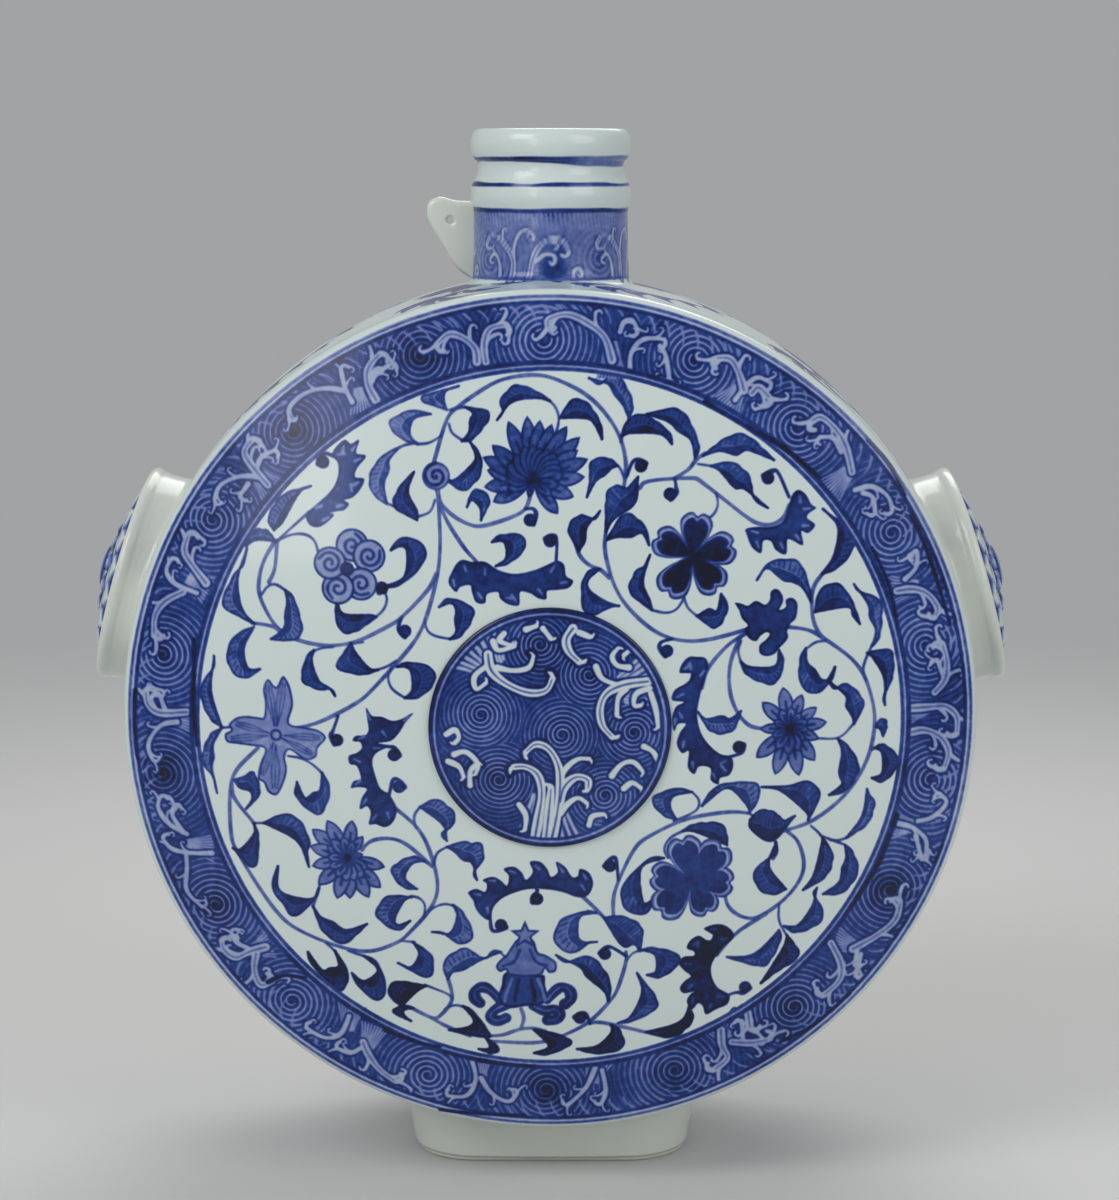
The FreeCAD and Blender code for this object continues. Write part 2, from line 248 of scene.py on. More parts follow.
# Leaves as outer edge from root to tip, the inner edge between the same ends, and tone; in the upper left
# some leaves take a lighter tone that is partly painted sheen reflection on their cobalt
LEAVES = (
    # This leaf's mid tone is partly painted sheen reflection, lighter than its cobalt
    (((274, 530), (269, 518), (283, 496), (311, 486)), ((283, 521), (299, 493)), MID),
    (((275, 541), (268, 532), (258, 530), (250, 535), (246, 546)), ((256, 540),), MID),
    (((255, 624), (229, 610), (223, 601), (235, 574), (243, 565), (247, 548)),
     ((246, 615), (240, 602), (238, 577)), MID),
    # The next two leaves' lighter wash tone is partly painted sheen reflection on their cobalt
    (((447, 410), (421, 398), (459, 386)), ((444, 400), (446, 391)), WASH),
    (((418, 444), (405, 440), (393, 430), (391, 421), (411, 411), (431, 414)),
     ((411, 437), (410, 428), (415, 418)), WASH),
    (((462, 441), (473, 438), (489, 414), (465, 407)), ((469, 432), (470, 420), (473, 413)), DARK),
    (((470, 442), (478, 452), (481, 464), (478, 477), (463, 490), (448, 480)),
     ((475, 453), (474, 462), (456, 479)), DARK),
    (((417, 520), (395, 506), (400, 488), (414, 472)), ((417, 511), (408, 492)), DARK),
    # This leaf's lighter wash tone is partly painted sheen reflection on its cobalt
    (((400, 447), (385, 455), (374, 468), (370, 481), (375, 495), (387, 504)),
     ((389, 460), (389, 470), (384, 484)), WASH),
    (((481, 520), (489, 500), (478, 490), (471, 495), (467, 507)), ((480, 508), (472, 500)), DARK),
    (((550, 401), (538, 393), (516, 386), (501, 401), (503, 411), (497, 420)),
     ((536, 398), (512, 402)), DARK),
    (((560, 418), (572, 401), (587, 404), (600, 424), (602, 439)), ((583, 418), (593, 422)), DARK),
    (((629, 419), (632, 403), (620, 379), (608, 378), (600, 384), (589, 378)),
     ((623, 405), (614, 394), (608, 384)), MID),
    (((622, 436), (627, 423), (643, 415), (668, 432), (672, 444)), ((632, 433), (660, 434)), DARK),
    (((695, 458), (698, 444), (680, 411), (647, 414)), ((691, 440), (678, 431), (669, 422)), DARK),
    (((618, 466), (608, 459), (592, 462), (590, 482), (587, 497)),
     ((612, 468), (605, 475), (596, 481)), DARK),
    (((606, 532), (607, 498), (612, 488), (620, 486), (627, 489), (638, 477)),
     ((614, 519), (635, 503)), DARK),
    (((607, 540), (620, 519), (630, 515), (645, 528), (649, 545)),
     ((618, 537), (631, 537), (642, 533)), DARK),
    (((579, 551), (569, 529), (580, 516), (594, 519), (600, 511)), ((585, 541), (587, 527)), DARK),
    (((703, 456), (726, 439), (746, 436), (774, 460)), ((720, 451), (737, 455), (747, 450)), DARK),
    (((711, 466), (731, 463), (748, 476), (754, 498), (768, 508)),
     ((720, 471), (735, 488), (745, 489)), DARK),
    (((822, 574), (836, 568), (847, 557), (854, 543), (853, 531), (846, 521), (836, 519), (823, 509)),
     ((834, 555), (838, 527)), DARK),
    (((285, 590), (293, 598), (301, 625), (299, 636), (288, 640), (271, 639)),
     ((287, 602), (285, 614), (284, 628)), MID),
    (((254, 627), (240, 633), (231, 643), (228, 655), (231, 668), (239, 676), (248, 677), (260, 669)),
     ((244, 648), (248, 668)), MID),
    (((314, 650), (307, 658), (303, 680), (320, 689), (331, 689), (335, 696)),
     ((312, 662), (319, 681), (328, 687)), DARK),
    (((351, 643), (338, 663), (340, 669), (362, 674), (378, 670)), ((356, 653), (369, 668)), DARK),
    (((376, 617), (357, 630), (345, 632), (339, 626), (336, 614), (337, 602)),
     ((371, 615), (344, 614)), DARK),
    (((222, 727), (210, 717), (201, 690), (213, 668), (214, 656)), ((213, 700), (211, 684)), MID),
    (((221, 729), (211, 735), (203, 755), (205, 766), (213, 776), (217, 793)),
     ((213, 745), (214, 757), (212, 768)), MID),
    (((384, 587), (398, 585), (418, 569), (425, 549), (407, 538), (397, 542), (391, 550)),
     ((404, 577), (407, 553), (402, 546)), DARK),
    (((450, 639), (461, 635), (473, 611), (450, 599), (439, 607)),
     ((456, 632), (455, 620), (456, 610), (451, 603)), DARK),
    (((405, 698), (418, 697), (433, 683), (430, 668), (408, 663), (397, 667)),
     ((412, 690), (411, 672), (405, 667)), DARK),
    (((496, 566), (508, 563), (523, 550), (521, 536), (500, 536), (492, 542)),
     ((506, 558), (504, 542)), DARK),
    (((600, 569), (590, 571), (583, 583), (584, 609), (594, 614), (610, 607), (619, 606)),
     ((588, 580), (590, 591), (607, 602)), DARK),
    (((652, 610), (634, 596), (630, 587), (637, 571), (644, 567), (650, 555)),
     ((650, 601), (643, 582)), DARK),
    (((697, 616), (713, 627), (721, 622), (727, 606), (721, 594)), ((709, 609), (717, 611)), DARK),
    (((698, 712), (712, 731), (732, 730), (741, 711)), ((706, 719), (722, 716), (730, 719)), MID),
    (((811, 602), (808, 585), (797, 562), (770, 563), (757, 580)),
     ((803, 588), (793, 582), (783, 580), (767, 568)), MID),
    (((815, 612), (820, 592), (836, 584), (850, 598), (860, 624)), ((848, 607), (853, 616)), DARK),
    (((872, 646), (879, 636), (881, 606), (875, 598), (859, 591), (854, 584)),
     ((876, 630), (870, 618), (868, 604)), MID),
    (((867, 653), (885, 650), (892, 654), (892, 676), (884, 696), (885, 705)),
     ((873, 658), (884, 678)), DARK),
    (((741, 662), (747, 674), (767, 683), (777, 680), (783, 662), (779, 650)),
     ((751, 667), (775, 666)), DARK),
    (((806, 648), (801, 658), (801, 682), (815, 693), (831, 680), (835, 667)),
     ((807, 662), (815, 670), (820, 678), (827, 680)), DARK),
    (((854, 724), (863, 703), (851, 687), (842, 685), (835, 689), (828, 680)),
     ((852, 716), (846, 706), (846, 696)), DARK),
    (((838, 739), (848, 747), (858, 768), (845, 790), (829, 795)),
     ((842, 752), (839, 773), (842, 784)), DARK),
    (((875, 748), (884, 745), (897, 757), (897, 766), (883, 781), (872, 778)),
     ((882, 753), (882, 773)), DARK),
    (((876, 727), (879, 721), (885, 720), (886, 728), (883, 736)), ((880, 729),), DARK),
    (((750, 812), (757, 801), (759, 790), (753, 783), (727, 784), (712, 791), (702, 806)),
     ((745, 803), (727, 788)), MID),
    (((808, 820), (818, 800), (818, 790), (812, 784), (802, 782), (790, 786), (762, 787)),
     ((806, 812), (781, 791)), DARK),
    (((750, 820), (758, 812), (768, 811), (777, 815), (784, 821), (795, 816)),
     ((751, 829), (772, 841)), DARK),
    (((786, 889), (774, 894), (763, 891), (756, 882), (755, 873), (760, 865), (776, 853), (776, 842)),
     ((769, 866),), DARK),
    (((823, 838), (832, 856), (825, 876), (803, 890)), ((814, 874),), DARK),
    (((845, 845), (852, 852), (857, 872), (842, 892), (823, 894)),
     ((846, 858), (842, 868), (839, 882)), DARK),
    (((846, 838), (867, 823), (874, 802), (870, 797), (867, 789)), ((862, 816),), MID),
    (((784, 926), (796, 932), (818, 923), (822, 911), (814, 894), (817, 888)),
     ((798, 925), (812, 906)), DARK),
    (((779, 930), (780, 940), (768, 962), (757, 965), (727, 957)), ((762, 948), (748, 956)), DARK),
    (((787, 935), (798, 955), (775, 972), (761, 983)), ((783, 948),), HEAPED),
    (((234, 780), (244, 777), (253, 773), (259, 793), (246, 809)),
     ((240, 788), (250, 791), (252, 799)), MID),
    (((254, 824), (258, 837), (254, 867), (233, 848)), ((254, 834), (241, 849)), DARK),
    (((264, 823), (283, 815), (299, 821), (309, 842), (307, 852), (309, 867)), ((297, 841),), DARK),
    (((322, 773), (328, 784), (328, 797), (318, 814), (297, 797), (297, 782)),
     ((320, 790), (313, 793), (305, 798)), DARK),
    (((319, 888), (314, 900), (294, 916), (287, 908), (273, 887), (278, 866)),
     ((311, 899), (280, 891)), DARK),
    (((313, 906), (323, 930), (339, 942), (348, 941), (367, 924)),
     ((321, 917), (333, 922), (346, 930)), DARK),
    (((335, 951), (347, 972), (340, 990), (313, 965), (308, 952)),
     ((339, 966), (330, 968), (322, 970)), HEAPED),
    (((364, 956), (376, 962), (385, 985), (378, 1000), (359, 986), (352, 973)),
     ((378, 970), (364, 981)), DARK),
    (((420, 807), (436, 800), (453, 813), (452, 825), (442, 834), (447, 841)), ((443, 825),), MID),
    (((447, 847), (464, 842), (471, 845), (479, 843), (483, 858), (474, 872), (477, 880)),
     ((455, 852), (463, 860), (472, 863)), MID),
    (((424, 861), (412, 857), (395, 866), (393, 874), (404, 887), (417, 889)),
     ((412, 864), (405, 878)), MID),
    (((412, 897), (388, 897), (377, 912), (382, 921), (398, 930), (410, 921)),
     ((404, 901), (395, 918), (398, 925)), MID),
    (((453, 905), (462, 912), (472, 932), (468, 941), (458, 943), (443, 933), (432, 932)),
     ((457, 916), (450, 933)), MID),
    (((413, 942), (431, 956), (431, 974), (423, 976), (398, 963)), ((419, 954), (411, 967)), DARK),
    (((448, 979), (444, 968), (448, 958), (465, 949), (480, 957), (487, 958), (493, 951), (501, 952)),
     ((453, 972), (463, 970), (481, 960)), MID),
    (((426, 986), (400, 982), (390, 987), (392, 998), (402, 1006)), ((416, 992),), HEAPED),
    (((413, 1008), (403, 1006), (394, 1012), (411, 1021)), ((404, 1010), (404, 1015)), HEAPED),
    (((463, 1006), (473, 1012), (488, 1032), (486, 1037), (449, 1030)), ((474, 1020), (468, 1027)), HEAPED),
    (((486, 1038), (498, 1048), (492, 1053), (479, 1049)), ((490, 1046), (487, 1049)), HEAPED),
    (((534, 1030), (555, 1034), (571, 1043), (548, 1054), (534, 1053)), ((549, 1046),), HEAPED),
    (((596, 913), (585, 912), (562, 920), (555, 938), (560, 947), (570, 952), (580, 950), (588, 943),
      (597, 942)), ((580, 917), (578, 936), (584, 942)), MID),
    (((604, 918), (622, 917), (641, 928), (640, 951)), ((618, 941), (626, 947), (634, 944)), DARK),
    (((642, 950), (652, 948), (674, 953), (679, 960), (675, 967), (660, 977), (647, 975)),
     ((655, 955), (656, 971)), DARK),
    (((618, 1023), (634, 1020), (657, 1004), (637, 973)), ((631, 1016), (642, 992)), DARK),
    (((611, 1025), (619, 1030), (622, 1047), (598, 1053), (577, 1049)), ((611, 1033), (597, 1046)), HEAPED),
    (((646, 1032), (673, 1036), (692, 1020), (689, 1007)), ((673, 1025), (684, 1018)), HEAPED),
    (((608, 1001), (610, 988), (605, 973), (589, 957), (567, 962), (556, 955)),
     ((604, 991), (586, 976), (581, 968)), DARK),
    (((664, 858), (650, 859), (628, 879), (622, 893), (624, 905), (632, 912), (642, 914), (649, 910),
      (651, 901)), ((641, 868), (643, 902)), DARK),
    (((683, 831), (694, 825), (719, 824), (726, 834), (727, 845)), ((696, 832),), DARK),
    (((692, 792), (676, 789), (653, 799), (664, 815), (676, 819)), ((674, 796), (670, 806)), MID),
)
# Buds as head, foot of the tail and where the tail leaves its stem
BUDS = (
    ((323, 462), (325, 453), (333, 456)), ((530, 520), (534, 509), (526, 509)),
    ((641, 466), (633, 461), (627, 476)),
    ((670, 494), (677, 488), (675, 479)), ((768, 478), (778, 472), (789, 497)),
    ((405, 631), (398, 626), (402, 617)),
    ((550, 541), (556, 537), (556, 563)), ((667, 651), (660, 643), (672, 639)),
    ((739, 747), (738, 755), (729, 757)),
    ((745, 987), (738, 993), (728, 995)), ((337, 740), (332, 731), (338, 716)),
    ((394, 755), (389, 746), (377, 745)),
    ((399, 787), (394, 779), (389, 796)), ((501, 925), (492, 930), (490, 914)),
    ((537, 899), (536, 892), (536, 888)),
    ((580, 1018), (585, 1013), (590, 1024)), ((605, 954), (612, 947), (626, 956)),
    ((610, 866), (615, 858), (618, 880)),
    ((382, 588), (380, 584), (385, 592)),
)
# Combed scroll leaves as outline and tone; the upper left one's lighter tone is partly painted sheen
# reflection
COMBS = (
    # This comb's mid tone is partly painted sheen reflection, lighter than its cobalt
    ((
        (310, 510), (306, 517), (310, 525), (318, 527), (326, 523), (334, 515), (330, 513), (338, 511),
        (344, 510), (349, 504), (344, 500), (353, 497), (361, 488), (364, 479), (355, 477), (357, 468),
        (366, 456), (356, 453), (359, 440), (351, 444), (345, 440), (337, 446), (332, 455), (338, 463),
        (338, 476), (333, 488), (322, 500),
    ), MID),
    ((
        (789, 505), (793, 494), (799, 490), (806, 495), (811, 504), (816, 508), (809, 513), (807, 518),
        (815, 525), (808, 533), (801, 531), (803, 545), (792, 540), (787, 540), (786, 554), (776, 550),
        (771, 541), (763, 541), (761, 553), (752, 547), (747, 535), (746, 529), (757, 527), (770, 527),
        (781, 523), (787, 515),
    ), DARK),
    ((
        (455, 566), (462, 560), (472, 562), (485, 562), (498, 570), (514, 574), (532, 571), (545, 566),
        (557, 561), (564, 565), (566, 576), (573, 581), (568, 588), (555, 590), (547, 591), (546, 599),
        (538, 598), (530, 593), (520, 592), (519, 605), (508, 604), (500, 598), (498, 592), (487, 594),
        (485, 603), (476, 602), (472, 592), (470, 585), (460, 587), (456, 592), (449, 584), (450, 575),
    ), DARK),
    ((
        (680, 673), (682, 664), (689, 657), (697, 657), (705, 658), (708, 666), (703, 684), (699, 700),
        (697, 716), (701, 733), (709, 745), (720, 754), (731, 757), (733, 766), (729, 775), (720, 778),
        (718, 784), (711, 780), (711, 769), (705, 766), (698, 767), (694, 774), (688, 767), (689, 751),
        (682, 753), (677, 744), (680, 733), (686, 724), (678, 724), (674, 731), (672, 719), (676, 707),
        (684, 702), (672, 700), (675, 690), (685, 684), (690, 679), (690, 672),
    ), DARK),
    ((
        (366, 708), (372, 716), (382, 717), (392, 721), (402, 719), (413, 713), (405, 723), (398, 734),
        (390, 741), (378, 743), (386, 747), (376, 753), (372, 762), (375, 775), (380, 788), (388, 794),
        (395, 804), (396, 815), (391, 824), (384, 827), (376, 824), (369, 824), (371, 813), (367, 806),
        (360, 809), (362, 798), (367, 789), (358, 787), (351, 788), (354, 781), (361, 779), (357, 766),
        (350, 764), (349, 756), (357, 753), (362, 748), (360, 742), (353, 741), (356, 736), (366, 735),
        (369, 726),
    ), DARK),
    ((
        (704, 929), (713, 925), (723, 925), (732, 931), (733, 938), (724, 946), (716, 956), (711, 966),
        (712, 978), (718, 988), (729, 995), (727, 1004), (716, 1009), (706, 1014), (703, 1006), (698, 1003),
        (692, 1009), (687, 1002), (690, 995), (695, 991), (684, 993), (680, 988), (685, 981), (691, 976),
        (684, 970), (679, 963), (684, 957), (694, 956), (694, 951), (687, 948), (691, 940), (699, 936),
        (706, 940), (711, 940), (713, 933),
    ), HEAPED),
    ((
        (468, 893), (476, 889), (485, 892), (487, 884), (483, 880), (493, 877), (501, 881), (507, 886),
        (509, 876), (504, 869), (514, 867), (522, 873), (526, 880), (533, 872), (530, 862), (540, 862),
        (547, 869), (551, 877), (558, 872), (556, 862), (565, 867), (572, 877), (578, 876), (580, 869),
        (589, 873), (593, 884), (588, 895), (577, 897), (563, 892), (545, 889), (528, 889), (513, 893),
        (501, 899), (493, 908), (490, 919), (484, 918), (476, 909), (473, 899),
    ), DARK),
)
# Flowers with parted petals: middle, petal middles, petal size (millimetres, or a share of the way out),
# and tone; then a flower of paired lobes as its outline, its middle and the tips of its lobes
SCROLLED_FLOWER = ((347, 569), ((352, 545), (369, 556), (361, 584), (338, 588), (330, 563)), 7.1, PALE)
HEART_FLOWER = ((692, 556), ((696, 528), (720, 549), (710, 578), (675, 581), (668, 543)), 1.5, 0.92)
ROUND_FLOWER = (
    (692, 880), ((685, 852), (713, 857), (719, 882), (703, 902), (670, 902), (665, 877)), 1.5, DARK,
)
LOBED_FLOWER = (
    (263, 718), (265, 703), (263, 689), (268, 679), (276, 687), (283, 676), (290, 687), (293, 705),
    (289, 723), (304, 727), (318, 730), (326, 738), (318, 748), (316, 757), (305, 760), (290, 750),
    (285, 757), (287, 769), (284, 782), (277, 795), (268, 792), (264, 783), (258, 778), (260, 764),
    (265, 749), (252, 746), (238, 744), (227, 742), (225, 734), (231, 730), (229, 724), (238, 717),
    (252, 716),
)
LOBED_MIDDLE = (276, 735)
LOBED_TIPS = ((268, 683), (283, 681), (322, 738), (314, 755), (275, 791), (261, 777), (229, 739), (234, 723))
# Flowers with pointed petals: middle, tips of the petals and tone; then a ragged one as its outline
ASTERS = (
    ((533, 482), (
        (493, 502), (484, 487), (487, 470), (483, 457), (492, 445), (508, 421), (527, 416), (540, 420),
        (552, 424), (567, 426), (580, 437), (578, 450), (588, 459), (585, 477), (574, 497), (558, 514),
    ), DARK),
    ((790, 728), (
        (762, 702), (783, 687), (802, 694), (817, 707), (827, 722), (819, 739), (815, 761), (799, 776),
        (775, 775), (756, 758), (760, 729),
    ), MID),
    ((348, 858), (
        (312, 829), (327, 820), (352, 820), (363, 836), (385, 867), (381, 888), (369, 898), (350, 899),
        (337, 899), (318, 885), (312, 866), (310, 846),
    ), MID),
)
RAGGED_FLOWER = (
    (735, 603), (742, 604), (748, 606), (756, 601), (765, 605), (770, 600), (771, 592), (776, 589),
    (781, 593), (783, 601), (779, 610), (786, 607), (786, 600), (792, 598), (797, 603), (797, 612),
    (795, 619), (790, 624), (787, 631), (788, 637), (784, 643), (779, 648), (774, 654), (766, 656),
    (760, 653), (760, 645), (766, 640), (770, 634), (766, 632), (760, 636), (756, 641), (749, 638),
    (745, 630), (748, 625), (742, 618), (739, 609),
)
# The upright bloom at the foot of the scroll: a star over a bulb with curling arms
BLOOM_STAR = (525, 935)
BLOOM_STRIPES = (((512, 979), (507, 991), (505, 1001)), ((538, 979), (543, 991), (545, 1001)))
BLOOM_SHADES = (((519, 980), (516, 992), (515, 1001)), ((531, 980), (534, 992), (535, 1001)))
BLOOM_FOLDS = (((520, 950), (514, 962), (503, 966)), ((530, 950), (536, 962), (547, 966)))
BLOOM_CAP = (
    (515, 941), (525, 938), (534, 941), (538, 952), (546, 955), (556, 962), (556, 971), (549, 973),
    (545, 969), (541, 975), (525, 977), (509, 975), (506, 970), (500, 972), (496, 967), (499, 961),
    (508, 953),
)
BLOOM_BULB = (
    (507, 972), (502, 985), (498, 998), (503, 1005), (512, 1008), (525, 1006), (540, 1005), (547, 998),
    (545, 985), (541, 973),
)
BLOOM_ARMS = (
    ((500, 1000), (490, 990), (482, 987), (475, 991), (475, 998), (480, 1003)),
    ((547, 1000), (556, 990), (563, 987), (570, 991), (571, 999), (565, 1004)),
    ((508, 1004), (496, 1009), (490, 1016), (497, 1021), (506, 1018)),
    ((533, 1006), (545, 1011), (555, 1009), (560, 1014), (555, 1020), (548, 1020)),
)
# A bead with a curl on the scroll, and its radius in millimetres
BEAD = (436, 476)
BEAD_RADIUS = 5.6

# Whirlpools of the wave border, the darkest of them, and the striped feet of its crests as root and head
BORDER_POOLS = (
    (421, 356), (543, 340), (695, 361), (797, 427), (892, 533), (926, 645), (931, 780), (890, 890),
    (794, 1007), (675, 1070), (546, 1090), (428, 1075), (292, 1001), (216, 905), (163, 773), (163, 655),
    (213, 520), (293, 431),
)
DARK_POOLS = ((163, 773), (890, 890), (675, 1080), (546, 1090), (421, 356), (294, 432))
BORDER_FANS = (
    ((364, 412), (360, 388)), ((481, 375), (480, 346)), ((612, 378), (611, 342)), ((727, 405), (741, 387)),
    ((830, 490), (850, 470)), ((893, 590), (918, 586)), ((905, 712), (930, 707)), ((893, 825), (915, 826)),
    ((835, 940), (856, 947)), ((722, 1028), (730, 1044)), ((598, 1062), (592, 1082)),
    ((478, 1058), (479, 1080)), ((352, 1005), (348, 1030)), ((375, 1026), (366, 1050)),
    ((270, 945), (252, 951)), ((213, 848), (187, 845)), ((190, 718), (168, 717)), ((208, 590), (188, 578)),
    ((272, 490), (255, 472)),
)
# Widths of the broad and the narrow foam strokes of the border, the medallion and the neck, in millimetres
FOAM_WIDTHS = (3.7, 2.5)
MEDALLION_WIDTHS = (4.4, 2.8)
NECK_WIDTHS = (2.8, 1.9)
# White foam of the border: broad and narrow strokes, from root to tip
BORDER_FOAM = ((
    ((376, 400), (368, 385), (367, 372), (372, 362), (379, 355)),
    ((612, 360), (605, 337), (588, 323), (568, 314), (549, 319), (548, 326)),
    ((477, 362), (475, 348), (462, 337), (449, 334), (439, 342)),
    ((486, 362), (484, 345), (489, 329), (503, 325)), ((744, 390), (739, 373), (731, 359), (718, 358)),
    ((852, 472), (847, 450), (838, 432), (822, 417), (813, 420)), ((752, 393), (759, 387), (769, 397)),
    ((897, 591), (913, 589), (928, 594), (938, 608), (936, 615)),
    ((935, 692), (945, 680), (947, 662), (943, 646)),
    ((912, 708), (930, 707), (945, 706), (957, 716), (957, 731)),
    ((912, 732), (925, 730), (941, 737), (949, 752), (945, 766)),
    ((853, 949), (876, 936), (895, 921), (900, 904)), ((831, 943), (841, 963), (840, 980), (825, 994)),
    ((721, 1030), (722, 1046), (728, 1058), (715, 1069)), ((732, 1042), (750, 1043), (767, 1040)),
    ((748, 1013), (750, 1027)), ((363, 1042), (368, 1054), (380, 1070), (394, 1080)),
    ((266, 947), (248, 952), (236, 958), (225, 951), (222, 943)),
    ((256, 954), (254, 970), (260, 985), (269, 983)), ((206, 583), (193, 566), (184, 551), (188, 536)),
    ((183, 592), (165, 601), (155, 615), (154, 633)), ((268, 485), (252, 466), (244, 452), (251, 441)),
    ((187, 712), (160, 713), (148, 705), (146, 693)),
), (
    ((371, 384), (376, 374), (391, 364)), ((352, 402), (345, 388), (341, 370)),
    ((346, 391), (325, 388), (303, 394), (289, 408), (289, 417)),
    ((620, 332), (624, 322), (633, 320), (637, 331)), ((630, 370), (631, 353), (643, 339), (662, 339)),
    ((660, 346), (666, 356), (669, 376)), ((735, 400), (745, 387), (757, 377), (769, 382)),
    ((841, 452), (834, 438), (822, 437)), ((863, 493), (873, 497), (875, 511)),
    ((855, 490), (872, 486), (888, 496), (892, 509)), ((905, 579), (916, 568), (917, 551), (911, 554)),
    ((945, 680), (938, 662)), ((918, 821), (933, 817), (947, 803), (941, 795)),
    ((896, 823), (912, 827), (926, 839), (926, 853)), ((916, 836), (921, 857)), ((858, 946), (855, 963)),
    ((861, 954), (856, 974)), ((743, 1041), (742, 1023)), ((595, 1068), (586, 1088), (569, 1104)),
    ((602, 1070), (606, 1090), (602, 1102)), ((472, 1060), (476, 1080), (467, 1096), (450, 1096)),
    ((481, 1078), (491, 1093), (508, 1102), (516, 1095)),
    ((349, 1016), (341, 1034), (325, 1038), (308, 1029)), ((362, 1047), (351, 1053), (339, 1049)),
    ((248, 948), (237, 943), (232, 934)), ((186, 852), (187, 870), (186, 890), (200, 905)),
    ((212, 853), (190, 853), (172, 849), (164, 840)), ((187, 834), (169, 824), (158, 808), (160, 798)),
    ((183, 832), (172, 815), (174, 807)), ((166, 713), (160, 696)),
    ((177, 722), (161, 725), (148, 743), (152, 758)), ((197, 593), (175, 584), (166, 571), (171, 560)),
    ((256, 471), (261, 457), (273, 451)), ((259, 477), (240, 476), (220, 485), (215, 499)),
    ((248, 484), (241, 494)),
))
# Whirlpools of the medallion
MEDALLION_POOLS = ((481, 715), (540, 645), (562, 735), (589, 675), (634, 733), (499, 780), (605, 796))
# White foam of the medallion: broad and narrow strokes, from root to tip
MEDALLION_FOAM = ((
    ((552, 838), (557, 815), (560, 790), (559, 767), (549, 749), (536, 744), (527, 751)),
    ((535, 838), (539, 815), (542, 793), (538, 775), (526, 767), (515, 767)),
    ((546, 838), (549, 812), (551, 790)), ((560, 802), (564, 787), (576, 777), (588, 780), (588, 788)),
    ((488, 655), (491, 671), (506, 684), (528, 693), (546, 691), (552, 680)),
    ((573, 629), (566, 640), (569, 652), (578, 661)),
    ((648, 682), (625, 685), (607, 693), (600, 708), (602, 725), (611, 736)),
), (
    ((560, 779), (567, 767), (578, 759), (588, 759)), ((561, 814), (568, 804), (578, 798), (586, 803)),
    ((497, 668), (514, 671), (529, 668), (533, 658)), ((543, 629), (550, 638)), ((526, 630), (535, 627)),
    ((596, 667), (602, 679), (617, 685)), ((626, 689), (618, 698), (617, 714)),
    ((650, 689), (636, 694), (634, 706), (640, 706)), ((454, 755), (466, 752), (478, 764), (476, 773)),
    ((486, 667), (474, 677), (476, 690), (485, 684)), ((589, 826), (592, 817), (602, 815)),
    ((519, 805), (526, 816), (525, 829)), ((493, 642), (498, 651), (513, 647)),
    ((504, 634), (499, 641), (508, 645)), ((579, 633), (589, 637)), ((651, 694), (656, 710), (658, 726)),
    ((629, 668), (617, 666), (612, 657), (617, 650)), ((640, 655), (632, 650), (625, 655)),
    ((612, 776), (621, 765), (633, 762), (642, 771)), ((624, 789), (632, 783), (640, 788)),
    ((644, 747), (653, 752), (658, 761)), ((448, 762), (459, 767), (463, 776)),
    ((470, 786), (470, 772), (476, 765)), ((446, 735), (455, 730), (459, 738), (455, 743)),
))
# The striped feet of the medallion's crests as root and head
MEDALLION_FANS = (((547, 842), (547, 795)), ((474, 645), (493, 668)), ((660, 678), (622, 690)))
# Foam of the neck's band, along the band from the middle of its unit and up from its foot, in millimetres
NECK_FOAM = ((
    ((-17.5, 0.5), (-17.2, 8.0), (-19.5, 13.0), (-25.0, 18.5), (-30.5, 19.5), (-33.0, 16.5)),
    ((-9.4, 0.5), (-8.0, 9.0), (-5.0, 15.0), (0.4, 18.6), (5.8, 17.2), (8.0, 13.4)),
), (
    ((-17.0, 7.0), (-17.0, 14.5), (-14.5, 20.5), (-10.5, 22.5), (-7.8, 19.8)),
    ((-6.4, 8.4), (-2.4, 11.6), (1.8, 10.8), (2.0, 8.6)),
    ((-24.0, 1.5), (-24.6, 7.5), (-27.4, 11.5), (-30.0, 10.0)),
    ((10.0, 0.5), (10.6, 4.4), (13.4, 5.4), (14.2, 3.4)),
))

# Heaped near-black strokes on the ruled rings, with their widths in millimetres
HEAPED_STROKES = (
    (((705, 402), (745, 425), (790, 452), (820, 478)), 3.0), (((868, 440), (890, 465), (905, 495)), 2.2),
    (((911, 515), (925, 545), (940, 590), (950, 625)), 2.4),
    (((872, 548), (885, 575), (893, 600), (897, 625)), 2.0),
    (((135, 690), (134, 720), (136, 750), (139, 762)), 2.2),
    (((194, 640), (194, 680), (194, 715), (197, 745)), 2.8),
    (((897, 815), (888, 840), (878, 865), (862, 890), (845, 915)), 3.2),
    (((850, 993), (830, 1012), (805, 1030), (780, 1042)), 1.8),
    (((480, 1060), (505, 1064), (535, 1066)), 2.6),
    (((440, 1110), (470, 1113), (500, 1115), (525, 1115)), 2.2),
    (((385, 1030), (410, 1040), (440, 1047)), 2.2), (((268, 982), (285, 975), (305, 978)), 2.6),
)


def camera_axes():
    """The camera's forward, right and up directions, from its turn about Z and its tilt below level."""
    turn, tilt = CAMERA_TURN, CAMERA_TILT
    forward = np.array([math.sin(turn) * math.cos(tilt), math.cos(turn) * math.cos(tilt), -math.sin(tilt)])
    right = np.array([math.cos(turn), -math.sin(turn), 0.0])
    return forward, right, np.cross(right, forward)


def circle_radius(half_chord, rise):
    """Radius of the arc with this half chord and rise: the sum of their squares over twice the rise."""
    return (half_chord ** 2 + rise ** 2) / (2 * rise)


def arc_drop(radius, offset):
    """How far an arc of this radius falls below its top, an offset to the side."""
    return radius - np.sqrt(radius ** 2 - np.square(offset))


